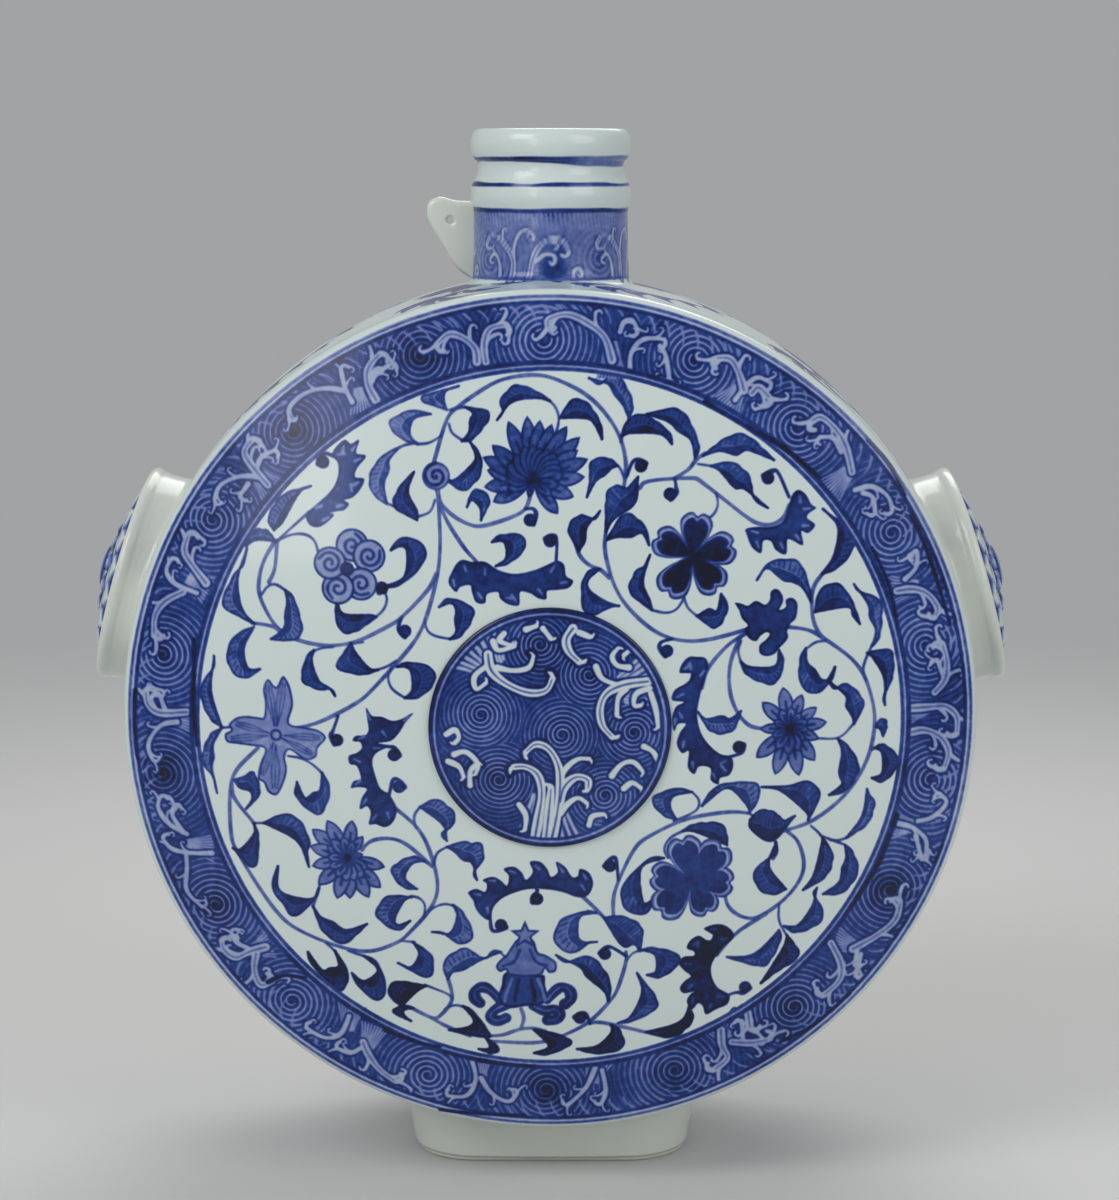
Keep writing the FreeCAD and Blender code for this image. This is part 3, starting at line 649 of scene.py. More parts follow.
def spokes(angle):
    """Directions of length one at angles: the cosine and the sine."""
    return np.stack([np.cos(angle), np.sin(angle)], -1)


def square_to(way):
    """A direction turned a quarter to the left."""
    return np.array([-way[1], way[0]])


def full_turn(count):
    """Even angles once round, the first not repeated."""
    return np.linspace(0, 2 * math.pi, count, endpoint=False)


class Body:
    """The drum's outer faces in millimetres, worked out from the scene's sizes."""

    def __init__(self, size):
        self.size = size
        self.edge_radius = size.crown_radius - size.crown_bulge
        self.dome_radius = circle_radius(self.edge_radius, size.dome_rise)
        self.dome_top = -size.front_edge_depth - size.dome_rise
        self.crown_arc = circle_radius(size.front_edge_depth, size.crown_bulge)
        self.front_seam = SHELL_HIGH[1]
        self.back_seam = BACK_LOW[1]

    def dome_depth(self, radius):
        """Depth of the domed front at a radius from the drum's axis: a shallow spherical cap."""
        return self.dome_top + arc_drop(self.dome_radius, radius)

    def side_radius(self, depth):
        """Radius of the barrel side at a depth along the drum's axis: an arc that swells at mid depth."""
        return self.size.crown_radius - arc_drop(self.crown_arc, depth)

    def wall_height(self, x, y, sign=1):
        """Height of the side wall over (sign 1) or under (sign -1) points of the plan: the barrel's
        circle."""
        return AXIS_HEIGHT + sign * np.sqrt(np.square(self.side_radius(y)) - np.square(x))

    def rim_profile(self, face_normal, corner, seam, steps):
        """Radius and depth along a rounded edge and on to a seam: the arc tangent to the face and to the
        side wall, its middle set where both are one edge radius away, then the barrel's curve to the
        seam."""
        slope = math.asin(corner[1] / self.crown_arc)
        normals = np.array([face_normal, spokes(slope)])
        middle = corner - np.linalg.solve(normals, np.full(2, self.size.edge_round))
        turn = np.linspace(0, 1, steps)
        lean = (1 - turn) * math.atan2(face_normal[1], face_normal[0]) + turn * slope
        arc = middle + self.size.edge_round * spokes(lean)
        depth = np.linspace(arc[-1, 1], seam, steps)[1:]
        return np.vstack([arc, np.column_stack([self.side_radius(depth), depth])])

    def photo_to_front(self, pixels, lift=0.0):
        """Where the sight lines of photograph pixels meet the dome, lifted forward by a distance: the near
        root of the line and sphere equation, as distances right of and above the drum's axis."""
        pixels = np.asarray(pixels, float)
        forward, right, up = camera_axes()
        across = (pixels[..., :1] - 0.5 * PHOTO_WIDTH) / PHOTO_FOCAL
        above = (0.5 * PHOTO_HEIGHT - pixels[..., 1:]) / PHOTO_FOCAL
        sight = forward + across * right + above * up
        sight /= np.linalg.norm(sight, axis=-1, keepdims=True)
        eye = np.array([CAMERA_SIDE, -CAMERA_AWAY, CAMERA_HEIGHT - AXIS_HEIGHT])
        middle = np.array([0.0, self.dome_top - lift + self.dome_radius, 0.0])
        toward = sight @ (eye - middle)
        reach = -toward - np.sqrt(toward ** 2 - np.sum((eye - middle) ** 2) + self.dome_radius ** 2)
        return (eye + reach[..., None] * sight)[..., [0, 2]]


def curve_through(points, steps=8):
    """A smooth curve through points: on each span the cubic whose end slopes are half the chord between the
    neighbouring points."""
    points = np.asarray(points, float)
    ends = np.vstack([2 * points[0] - points[1], points, 2 * points[-1] - points[-2]])[:, None]
    share = np.linspace(0, 1, steps, endpoint=False)[:, None]
    a, b, c, d = ends[:-3], ends[1:-2], ends[2:-1], ends[3:]
    spans = b + 0.5 * share * (c - a + share * (2 * a - 5 * b + 4 * c - d + share * (3 * (b - c) + d - a)))
    return np.vstack([spans.reshape(-1, 2), points[-1:]])


def brush_path(points):
    """A curve through points with its kinks eased: six times, each inner point goes half way to the mean of
    its neighbours."""
    path = curve_through(points)
    for _ in range(6):
        path[1:-1] = 0.5 * path[1:-1] + 0.25 * (path[:-2] + path[2:])
    return path


def loop_through(points):
    """A smooth closed outline through points."""
    points = np.asarray(points, float)
    return curve_through(np.vstack([points[-2:], points, points[:2]]), 4)[8:-9]


def ring_of(middle, radius, count=24):
    """A circle of points."""
    return middle + radius * spokes(full_turn(count))


def bow(start, middle, end, steps=12):
    """The parabola from start to end that passes the middle point half way."""
    share = np.linspace(0, 1, steps)[:, None]
    handle = 2 * middle - 0.5 * (start + end)
    return (1 - share) ** 2 * start + 2 * share * (1 - share) * handle + share ** 2 * end


def to_segment(x, y, start, end):
    """How far along a segment the nearest point lies, as a share, and the distance to it."""
    run = end - start
    along = ((x - start[0]) * run[0] + (y - start[1]) * run[1]) / max(run @ run, 1e-9)
    along = np.clip(along, 0, 1)
    return along, np.hypot(x - start[0] - along * run[0], y - start[1] - along * run[1])


class Sheet:
    """A flat sheet of cobalt tone on a square grid in millimetres, 0 bare glaze and 1 the deepest blue."""

    def __init__(self, half_width, half_height, step):
        self.step = step
        self.low = -np.array([half_width, half_height])
        columns, rows = np.ceil(-2 * self.low / step).astype(int) + 1
        self.x = self.low[0] + step * np.arange(columns)[None, :]
        self.y = self.low[1] + step * np.arange(rows)[:, None]
        self.tone = np.zeros((rows, columns), np.float32)
        self.gap = np.full_like(self.tone, FAR)

    def window(self, points, reach):
        """The slices of the sheet within reach of some points, and the coordinates of its columns and
        rows."""
        first = np.floor((points.min(0) - reach - self.low) / self.step).astype(int)
        last = np.ceil((points.max(0) + reach - self.low) / self.step).astype(int) + 1
        first, last = np.clip((first, last), 0, self.tone.shape[::-1])
        columns, rows = slice(first[0], last[0]), slice(first[1], last[1])
        return (rows, columns), self.x[:, columns], self.y[rows]

    def lay(self, gap, tone, box=...):
        """Lay a tone where gap, the distance outside a painted edge, is below zero, with a soft brush
        edge."""
        cover = np.clip(0.5 - gap / BRUSH_SOFTNESS, 0, 1)
        self.tone[box] += cover * (tone - self.tone[box])

    def rings(self, bands):
        """Rings round the sheet's middle, each given by its inner radius, outer radius and tone."""
        radius = np.hypot(self.x, self.y)
        for low, high, tone in bands:
            self.lay(np.maximum(low - radius, radius - high), tone)

    def line(self, points, width, tone, start=1.0, end=1.0):
        """One brush line along a smooth curve, its width running from a start share to an end share, with a
        slight tremble."""
        path = brush_path(points)
        tremble = 1 + 0.1 * np.sin(0.35 * np.arange(len(path)) + path[0, 0])
        half = 0.5 * width * np.linspace(start, end, len(path)) * tremble
        for a, b, half_a, half_b in zip(path[:-1], path[1:], half[:-1], half[1:]):
            box, x, y = self.window(np.array([a, b]), width + BRUSH_SOFTNESS)
            along, gap = to_segment(x, y, a, b)
            np.minimum(self.gap[box], gap - half_a - (half_b - half_a) * along, out=self.gap[box])
        box = self.window(path, width + BRUSH_SOFTNESS)[0]
        self.lay(self.gap[box], tone, box)
        self.gap[box] = FAR

    def blob(self, outline, tone, rim=None, rim_width=LEAF_EDGE):
        """A filled outline: the distance to its nearest side, negative inside by the even-odd rule, with an
        optional rim of another tone."""
        box, x, y = self.window(outline, BRUSH_SOFTNESS)
        gap = np.full((y.size, x.size), FAR)
        inside = np.zeros(gap.shape, bool)
        for a, b in zip(outline, np.roll(outline, -1, 0)):
            gap = np.minimum(gap, to_segment(x, y, a, b)[1])
            rise = b[1] - a[1] if b[1] != a[1] else 1e-9
            inside ^= ((a[1] > y) != (b[1] > y)) & (x < a[0] + (b[0] - a[0]) * (y - a[1]) / rise)
        gap = np.where(inside, -gap, gap)
        if rim is not None:
            tone = tone + (rim - tone) * np.clip(0.5 + (gap + rim_width) / BRUSH_SOFTNESS, 0, 1)
        self.lay(gap, tone, box)

    def at(self, x, y):
        """The tone at points, read from the four grid points around each."""
        column = np.clip((x - self.low[0]) / self.step, 0, self.tone.shape[1] - 1.001)
        row = np.clip((y - self.low[1]) / self.step, 0, self.tone.shape[0] - 1.001)
        i, j = row.astype(int), column.astype(int)
        v, u = row - i, column - j
        below = (1 - u) * self.tone[i, j] + u * self.tone[i, j + 1]
        above = (1 - u) * self.tone[i + 1, j] + u * self.tone[i + 1, j + 1]
        return (1 - v) * below + v * above


def paint_leaf(sheet, outer, inner, tone):
    """A leaf between two edges that run from root to tip: the inner half dark, the outer half pale and
    hatched, with a pale rib and a dark outline, its outer edge ruffled a little by half waves."""
    share = np.linspace(0, 1, 31)
    edges = []
    for edge in (outer, np.vstack([outer[:1], inner, outer[-1:]])):
        path = curve_through(edge, 6)
        reach = np.append(0, np.cumsum(np.linalg.norm(np.diff(path, axis=0), axis=1)))
        edges.append(np.column_stack([np.interp(share * reach[-1], reach, path[:, k]) for k in (0, 1)]))
    outer, inner = edges
    out = (outer - inner) / np.maximum(np.linalg.norm(outer - inner, axis=1), 0.5)[:, None]
    ruffle = 0.45 * np.abs(np.sin(5 * math.pi * share)) * np.sin(math.pi * share) ** 0.5
    outer = outer + ruffle[:, None] * out
    rib = 0.45 * outer + 0.55 * inner
    sheet.blob(np.vstack([outer, inner[::-1]]), tone - 0.20)
    sheet.blob(np.vstack([inner, rib[::-1]]), tone + 0.02)
    for k in range(3, 27, 2):
        hatch = (rib[k], 0.2 * rib[k + 1] + 0.8 * outer[k + 1])
        sheet.line(hatch, 0.7, tone + 0.06 * math.sin(2.3 * k + rib[0, 0]), 1.2, 0.6)
    sheet.line(rib[4:-6:3], 0.5, tone - 0.28)
    sheet.line(outer[::2], 0.9, tone + 0.10)
    sheet.line(inner[::2], 0.8, tone + 0.12)


def paint_bud(sheet, head, tail, foot):
    """A comma-shaped bud: a round head, with a tail that swings round it and down to its stem."""
    away = (head - tail) / np.linalg.norm(head - tail)
    side = square_to(away)
    side *= math.copysign(1.0, (foot - tail) @ side)
    swing = (foot, tail + 0.6 * side, tail + 1.6 * away - 1.6 * side, head + 1.2 * away - 2.0 * side)
    sheet.line(swing, 1.5, DARK, 0.8, 1.5)
    sheet.blob(ring_of(head, 2.7, 18), DARK + 0.06, HEAPED, 0.8)


def paint_comb(sheet, outline, tone):
    """A combed scroll leaf from its outline: a dark body with a darker edge and a pale fleck below each
    tooth, where the outline turns outwards most sharply."""
    sheet.blob(loop_through(outline), tone - 0.04, tone + 0.12, 1.0)
    before, after = np.roll(outline, 1, 0), np.roll(outline, -1, 0)
    inward = 0.5 * (before + after) - outline
    winding = np.sum(outline[:, 0] * after[:, 1] - outline[:, 1] * after[:, 0])
    behind, ahead = outline - before, after - outline
    turn = behind[:, 0] * ahead[:, 1] - behind[:, 1] * ahead[:, 0]
    sharp = np.where(turn * winding > 0, np.linalg.norm(inward, axis=1), 0)
    tips = (sharp > 1.1) & (sharp >= np.roll(sharp, 1)) & (sharp > np.roll(sharp, -1))
    for tip, way in zip(outline[tips], inward[tips]):
        way = way / np.linalg.norm(way)
        sheet.line((tip + 2.6 * way, tip + 5.2 * way), 1.2, tone - 0.36, 0.8, 1.2)


def paint_scrolled_flower(sheet, middle, petals, size, tone):
    """A flower of round petals, each a pale disc with a dark edge and a curl wound from its middle, round a
    dark core."""
    turn = np.linspace(0, 3.1 * math.pi, 26)
    reach = size * (0.12 + 0.62 * turn / turn[-1])[:, None]
    for petal in petals:
        sheet.blob(ring_of(petal, size), tone - 0.16, DARK, 0.8)
        start = math.atan2(*(middle - petal)[::-1])
        sheet.line((petal + reach * spokes(start + turn))[::2], 1.2, MID)
    sheet.blob(ring_of(middle, 0.42 * size), MID, DARK)


def paint_heart_flower(sheet, middle, petals, size, tone):
    """A flower of heart-shaped petals: a soft edge, a pale inner line and a heaped heart, drawn to the
    middle."""
    half = np.array([(0.0, 0.03), (0.22, 0.17), (0.52, 0.33), (0.80, 0.39), (0.98, 0.27), (1.03, 0.12)])
    heart = np.vstack([half, (0.95, 0.0), half[::-1] * (1, -1)])
    layers = ((1.0, WASH - 0.08, MID + 0.06), (0.86, 0.26, 0.26), (0.76, tone - 0.04, DARK))
    for shrink, inside, rim in layers:
        for petal in petals:
            out = size * (petal - middle)
            shape = heart * (0.5 + 0.5 * shrink, shrink) - ((1 - shrink) * 0.02, 0)
            edge = middle + shape[:, :1] * out + shape[:, 1:] * square_to(out)
            sheet.blob(loop_through(edge), inside, rim, 0.7)
    for petal in petals:
        sheet.line((middle, 0.45 * middle + 0.55 * petal), 1.6, tone, 1.0, 0.5)
    sheet.blob(ring_of(middle, 2.0, 14), tone)


def paint_lobed_flower(sheet, outline, middle, tips):
    """An open flower of paired lobes: its outline filled pale and edged in blue, and three veins from the
    middle to each lobe."""
    sheet.blob(loop_through(outline), PALE - 0.10, MID + 0.06, 0.8)
    for tip in tips:
        out = tip - middle
        for spread in (-0.07, 0.0, 0.07):
            side = spread * square_to(out)
            vein = (middle + 0.18 * out, middle + 0.6 * out + side, middle + 0.95 * out + 0.6 * side)
            sheet.line(vein, 0.55, WASH + 0.06)
    sheet.blob(ring_of(middle, 2.6, 14), PALE - 0.1, DARK)


def paint_pointed_petals(sheet, middle, tips, tone):
    """A ring of pointed petals, each a pale spindle from the middle to its tip with a dark outline and a
    dark root, under a shorter inner ring between them and a heaped core."""
    inner = 0.42 * middle + 0.58 * 0.5 * (tips + np.roll(tips, 1, 0))
    for ring, width, deeper in ((tips, 0.36, 0.0), (inner, 0.46, 0.04)):
        for tip in ring:
            out = tip - middle
            length = np.linalg.norm(out)
            side = 0.5 * min(6.8, width * length) / length * square_to(out)
            waist = middle + 0.6 * out
            outline = np.vstack([bow(middle, waist + side, tip), bow(tip, waist - side, middle)[1:-1]])
            sheet.blob(outline, tone - 0.24 + deeper, tone + 0.14, 0.65)
            sheet.line((middle + 0.1 * out, middle + 0.66 * out), 2.4, tone + 0.08, 1.0, 0.3)
    sheet.blob(ring_of(middle, 1.8, 12), HEAPED)


def paint_aster(sheet, middle, petals, reach, tone):
    """A round flower of pointed petals, every other one a little shorter."""
    length = reach * (1 - 0.1 * (np.arange(petals) % 2))
    tips = middle + length[:, None] * spokes(full_turn(petals) + 0.5 * math.pi)
    paint_pointed_petals(sheet, middle, tips, tone)


def paint_bloom(sheet, place):
    """The upright bloom: curling arms below a striped bulb, a pale cap with rolled sides, and a star on
    top."""
    for arm in BLOOM_ARMS:
        sheet.line(place(arm), 4.4, DARK, 1.0, 1.2)
        sheet.line(place(arm), 0.9, PALE, 1.0, 0.6)
    sheet.blob(loop_through(place(BLOOM_BULB)), MID, HEAPED, 1.2)
    for stripes, tone in ((BLOOM_STRIPES, PALE), (BLOOM_SHADES, HEAPED)):
        for stripe in stripes:
            sheet.line(place(stripe), 1.5, tone)
    sheet.blob(loop_through(place(BLOOM_CAP)), PALE, DARK - 0.06, 0.9)
    for fold in BLOOM_FOLDS:
        sheet.line(place(fold), 1.2, MID)
    reach = np.where(np.arange(10) % 2, 3.0, 6.8)
    rays = reach[:, None] * spokes(full_turn(10) + 0.5 * math.pi)
    sheet.blob(place(BLOOM_STAR) + rays, PALE - 0.06, DARK - 0.04, 0.8)


def paint_scroll(sheet, body):
    """The flower scroll of the front field."""
    place = body.photo_to_front
    for stem in STEMS:
        sheet.line(place(stem), STEM_WIDTH, MID - 0.04)
        sheet.line(place(stem), 0.4 * STEM_WIDTH, PALE)
    for stalk in STALKS:
        sheet.line(place(stalk), STALK_WIDTH, MID - 0.06, 0.8, 1.0)
    for outline, tone in COMBS:
        paint_comb(sheet, place(outline), tone)
    for outer, inner, tone in LEAVES:
        paint_leaf(sheet, place(outer), place(inner), tone)
    for bud in BUDS:
        paint_bud(sheet, *place(bud))
    middle, petals, size, tone = SCROLLED_FLOWER
    paint_scrolled_flower(sheet, place(middle), place(petals), size, tone)
    for middle, petals, size, tone in (HEART_FLOWER, ROUND_FLOWER):
        paint_heart_flower(sheet, place(middle), place(petals), size, tone)
    paint_lobed_flower(sheet, place(LOBED_FLOWER), place(LOBED_MIDDLE), place(LOBED_TIPS))
    for middle, tips, tone in ASTERS:
        paint_pointed_petals(sheet, place(middle), place(tips), tone)
    sheet.blob(loop_through(place(RAGGED_FLOWER)), MID + 0.04, HEAPED, 0.9)
    paint_bloom(sheet, place)
    turn = np.linspace(0.4, 3.6 * math.pi, 40)
    coil = place(BEAD) + (BEAD_RADIUS * turn / turn[-1])[:, None] * spokes(-turn)
    sheet.blob(ring_of(place(BEAD), BEAD_RADIUS + 0.4), PALE - 0.1, MID)
    sheet.line(coil[::2], 1.2, DARK)


def pool_tone(x, y, middles, spacing, line, ground, sink, reach):
    """Waves that circle the nearest of several whirlpools: a raised cosine of the distance over the
    spacing, turned into a spiral by taking off the angle, in pale line on a blue ground that sinks to each
    middle; the lines fade by their reach."""
    nearest = np.full(np.broadcast(x, y).shape, FAR)
    phase = np.zeros(nearest.shape)
    for k, (px, py) in enumerate(middles):
        distance = np.hypot(x - px, y - py)
        closer = distance < nearest
        angle = np.arctan2(y - py, x - px) * (1 if k % 2 else -1)
        phase = np.where(closer, distance / spacing - angle / (2 * math.pi) + 0.5, phase)
        nearest = np.where(closer, distance, nearest)
    crest = (0.5 + 0.5 * np.cos(2 * math.pi * phase)) ** 2 * np.clip(nearest / spacing, 0, 1)
    crest *= np.clip(1.4 - nearest / reach, 0.3, 1)
    depth = ground + sink * np.exp(-np.square(nearest / (2.4 * spacing)))
    return depth + (line - depth) * crest


def curled(points, width, sweep):
    """A brush path whose end hooks round through a sweep, the way that the path last bends, in an arc that
    tightens."""
    ahead = points[-1] - points[-2]
    length = np.linalg.norm(ahead)
    ahead = ahead / length
    before = points[-2] - points[-3] if len(points) > 2 else -square_to(ahead)
    bend = 1.0 if before[0] * ahead[1] > before[1] * ahead[0] else -1.0
    radius = min(0.7 + 0.5 * width, 0.6 * length)
    middle = points[-1] + bend * radius * square_to(ahead)
    turn = math.atan2(*(points[-1] - middle)[::-1]) + bend * np.linspace(0.2, 1.0, 4) * sweep
    return np.vstack([points, middle + radius * np.linspace(1.0, 0.75, 4)[:, None] * spokes(turn)])


def paint_foam(sheet, place, foam, widths, tone, under, sweep=2.9, tip=0.55, fringe=()):
    """White foam: strokes that end in hooked tips, with small hooked fingers at shares of their length, to
    one side and to the other in turn, a darker tone under all of it, a pale one on top and a blue vein up
    each broad stroke."""
    strokes = []
    for width, group in zip(widths, foam):
        for points in group:
            points = curled(place(points), width, sweep)
            strokes.append((points, width))
            path = brush_path(points)
            for side, share in enumerate(fringe):
                k = int(share * (len(path) - 3))
                ahead = path[k + 1] - path[k]
                across = square_to(ahead) * (1 if side % 2 else -1)
                reach = np.array([[0.0, 0.0], [0.8, 0.7], [1.2, 1.3]]) * width / np.linalg.norm(ahead)
                finger = path[k] + reach[:, :1] * ahead + reach[:, 1:] * across
                strokes.append((curled(finger, 0.5 * width, sweep), 0.55 * width))
    for points, width in strokes:
        sheet.line(points, width + 1.5, under, 1.0, 0.8)
    for points, width in strokes:
        sheet.line(points, width, tone, 1.0, tip)
    for points, width in strokes:
        if width == widths[0]:
            sheet.line(points[:-4], 0.2 * width, WASH, 1.0, 0.4)


def paint_fans(sheet, place, fans, spread):
    """Pale stripes that rise from the foot of each crest and draw together at its head."""
    for fan in fans:
        root, head = place(fan)
        across = spread * square_to(head - root) / np.linalg.norm(head - root)
        corners = (root - 0.55 * across, root + 0.55 * across, head + 0.22 * across, head - 0.22 * across)
        sheet.blob(np.array(corners), MID)
        for share in np.linspace(-0.5, 0.5, 9):
            middle = 0.5 * (root + head) + 0.65 * share * across
            stripe = (root + share * across, middle, head + 0.4 * share * across)
            sheet.line(stripe, 0.085 * spread * (1 - 0.5 * abs(share)), 0.24, 0.8, 0.8)


def paint_border(sheet, body):
    """The wave border: whirlpools over the whole band, crests of foam between them, dashes along the outer
    edge and ruled rings at both edges."""
    place = body.photo_to_front
    waves = pool_tone(sheet.x, sheet.y, place(BORDER_POOLS), spacing=2.5, line=0.31, ground=MID + 0.03,
                      sink=0.16, reach=27.0)
    for x, y in place(DARK_POOLS):
        waves += 0.20 * np.exp(-np.square(np.hypot(sheet.x - x, sheet.y - y) / 11.0))
    sheet.rings(((FIELD_RADIUS, body.edge_radius, waves),))
    paint_fans(sheet, place, BORDER_FANS, 12.0)
    for turn in full_turn(DASHES):
        radii = np.linspace(DASH_RADIUS + DASH_WAVER * math.sin(9 * turn), BORDER_OUTER, 3)
        sheet.line(radii[:, None] * spokes(turn + DASH_LEAN), 1.3, 0.38, 0.5, 1.0)
    paint_foam(sheet, place, BORDER_FOAM, FOAM_WIDTHS, 0.26, DARK + 0.04, fringe=(0.18, 0.4, 0.62))
    sheet.rings(BORDER_RINGS)
    for points, width in HEAPED_STROKES:
        sheet.line(place(points), width, HEAPED, 0.7, 0.5)


def paint_medallion(sheet, body):
    """The medallion: a sea of whirlpools with white crests, inside a double ring."""
    def place(points):
        return body.photo_to_front(points, body.dome_top - BOSS_LOW[1])

    sheet.tone[:] = pool_tone(sheet.x, sheet.y, place(MEDALLION_POOLS), spacing=2.0, line=0.34,
                              ground=MID + 0.05, sink=0.14, reach=21.0)
    paint_fans(sheet, place, MEDALLION_FANS, 29.0)
    paint_foam(sheet, place, MEDALLION_FOAM, MEDALLION_WIDTHS, 0.11, DARK + 0.04, 1.5, 0.3)
    sheet.rings([(BOSS_RADIUS + low, BOSS_RADIUS + high, tone) for low, high, tone in MEDALLION_RINGS])


def paint_side(sheet, half_width, half_length):
    """A running flower scroll round the side wall: a wavy stem with a flower in each hollow, leaves that
    lean out along its crests and a spray of leaves behind each flower, reaching both edges."""
    waves, swing = 7, 0.64 * half_width
    span = 2 * half_length / waves

    def stem_at(place):
        return np.stack([place, swing * np.sin(2 * math.pi * place / span)], -1)

    def add_leaf(base, lean, rise, tone):
        run = np.array([lean, rise])
        side = 0.3 * square_to(run)
        belly = base + 0.55 * run
        outer = bow(base, belly + 1.7 * side, base + run)
        paint_leaf(sheet, outer, bow(base, belly + 0.5 * side, base + run)[2:-2], tone)

    sheet.line(stem_at(np.linspace(-half_length, half_length, 16 * waves + 1)), 2.2, MID - 0.02)
    for k in range(2 * waves):
        crest = 1 if k % 2 else -1
        x = -half_length + (k + 0.5) * 0.5 * span
        flower = np.array([x, -0.18 * half_width * crest])
        root = stem_at(x - 0.25 * span)
        behind = np.array([x + 0.03 * span, -0.78 * half_width * crest])
        sheet.line((root, 0.5 * (root + flower) + (0, 6.0 * crest), flower), 1.6, MID)
        sheet.line((root, root + (0.03 * span, -0.5 * half_width * crest), behind), 1.5, MID)
        for place, lean, rise in SPRAY_LEAVES:
            add_leaf(root + place * (behind - root), lean, -crest * rise, DARK if lean < 10 else MID)
        tone = DARK if k % 3 else MID
        for shift in (-0.21, -0.15, -0.09, -0.03, 0.03, 0.09, 0.15, 0.21):
            add_leaf(stem_at(x + shift * span), 7.0 + 40 * shift, crest * (25.0 - 40 * abs(shift)), tone)
        for shift in (-0.17, 0.17):
            add_leaf(stem_at(x + shift * span), -60 * shift, -crest * 19.0, MID)
        if k % 3 == 0:
            paint_aster(sheet, flower, 14, 20.0, MID)
        else:
            petals = 5 + k % 2
            middles = flower + 13.0 * spokes(full_turn(petals) + 0.5 * math.pi / petals)
            paint_heart_flower(sheet, flower, middles, 1.5, DARK)


@functools.lru_cache
def side_sheet(half_width, half_length):
    """The side wall's painting, kept once made: the scroll stops short of both edges by a margin."""
    sheet = Sheet(half_length, half_width, SIDE_STEP)
    paint_side(sheet, half_width - SIDE_MARGIN, half_length)
    return sheet


def side_tone(size, points):
    """Tone of the side's painting at points: read along the crown, from the angle about the drum's axis,
    and across the wall, from the depth."""
    half_width = 0.5 * (size.back_depth + size.front_edge_depth)
    half_length = math.pi * size.crown_radius
    turn = np.arctan2(points[..., 2] - AXIS_HEIGHT, points[..., 0]) - 0.5 * math.pi
    turn = (turn + math.pi) % (2 * math.pi) - math.pi
    middle = size.back_depth - half_width
    return side_sheet(half_width, half_length).at(turn * size.crown_radius, points[..., 1] - middle)


def paint_neck(sheet, size, half_length):
    """The neck: two uneven ruled lines at the waist, and below the ridge a violet band of waves with a tree
    of foam and a curling crest over a dark hollow, four times round."""
    x, y = sheet.x, sheet.y
    wobble = 0.5 * np.sin(x / 9.0) + 0.3 * np.sin(x / 3.7 + 1.0)
    smear = np.clip(0.5 + 0.7 * np.sin(x / 19.0 - 0.2), 0, 1)
    upper = np.abs(y - size.upper_line + 0.9 * smear) - 0.9 - 1.5 * smear + 0.3 * wobble
    sheet.lay(upper, DARK - 0.4 * smear)
    sheet.lay(np.abs(y - size.lower_line - 0.3 * wobble) - 0.8 - 0.3 * wobble, DARK - 0.25 * smear)
    low, high = size.wave_low, size.wave_high
    units = 4
    starts = 2 * half_length / units * (np.arange(units + 1) - 0.5 * units)
    pools = np.column_stack([starts + 24.0, np.full(units + 1, low + 9.0)])
    ground = pool_tone(x, y, pools, spacing=2.8, line=0.34, ground=0.46, sink=0.10, reach=16.0)
    for start in starts:
        hollow = np.square((x - start - 1.5) / 5.5) + np.square((y - low - 5.0) / 9.0)
        shade = np.square((x - start - 1.0) / 7.0) + np.square((y - high) / 4.0)
        ground = ground + 0.34 * np.exp(-hollow) + 0.26 * np.exp(-shade)
    sheet.lay(np.maximum(low - y, y - high), ground)
    for place in np.arange(-half_length, half_length, 2.1):
        dash = ((place, high - 1.0), (place + 0.3, high - 4.0), (place + 0.9, high - 7.5))
        sheet.line(dash, 0.7, 0.34, 1.0, 0.5)
    for start in starts:
        paint_foam(sheet, lambda points: (start, low) + np.array(points), NECK_FOAM, NECK_WIDTHS, 0.22, WASH,
                   fringe=(0.3,))
    sheet.lay(np.abs(y - high - 0.3 * wobble) - 0.9, MID + 0.06)
    sheet.lay(np.abs(y - low - 0.6) - 0.6, WASH)


def grid_faces(rows, columns, closed):
    """Corner numbers of the quads of a grid, row by row, the columns joined round where the grid is
    closed."""
    near = columns * np.arange(rows - 1)[:, None]
    column = np.arange(columns if closed else columns - 1)[None, :]
    after = (column + 1) % columns
    corners = (near + column, near + after, near + columns + after, near + columns + column)
    return np.stack(np.broadcast_arrays(*corners), -1).reshape(-1, 4)


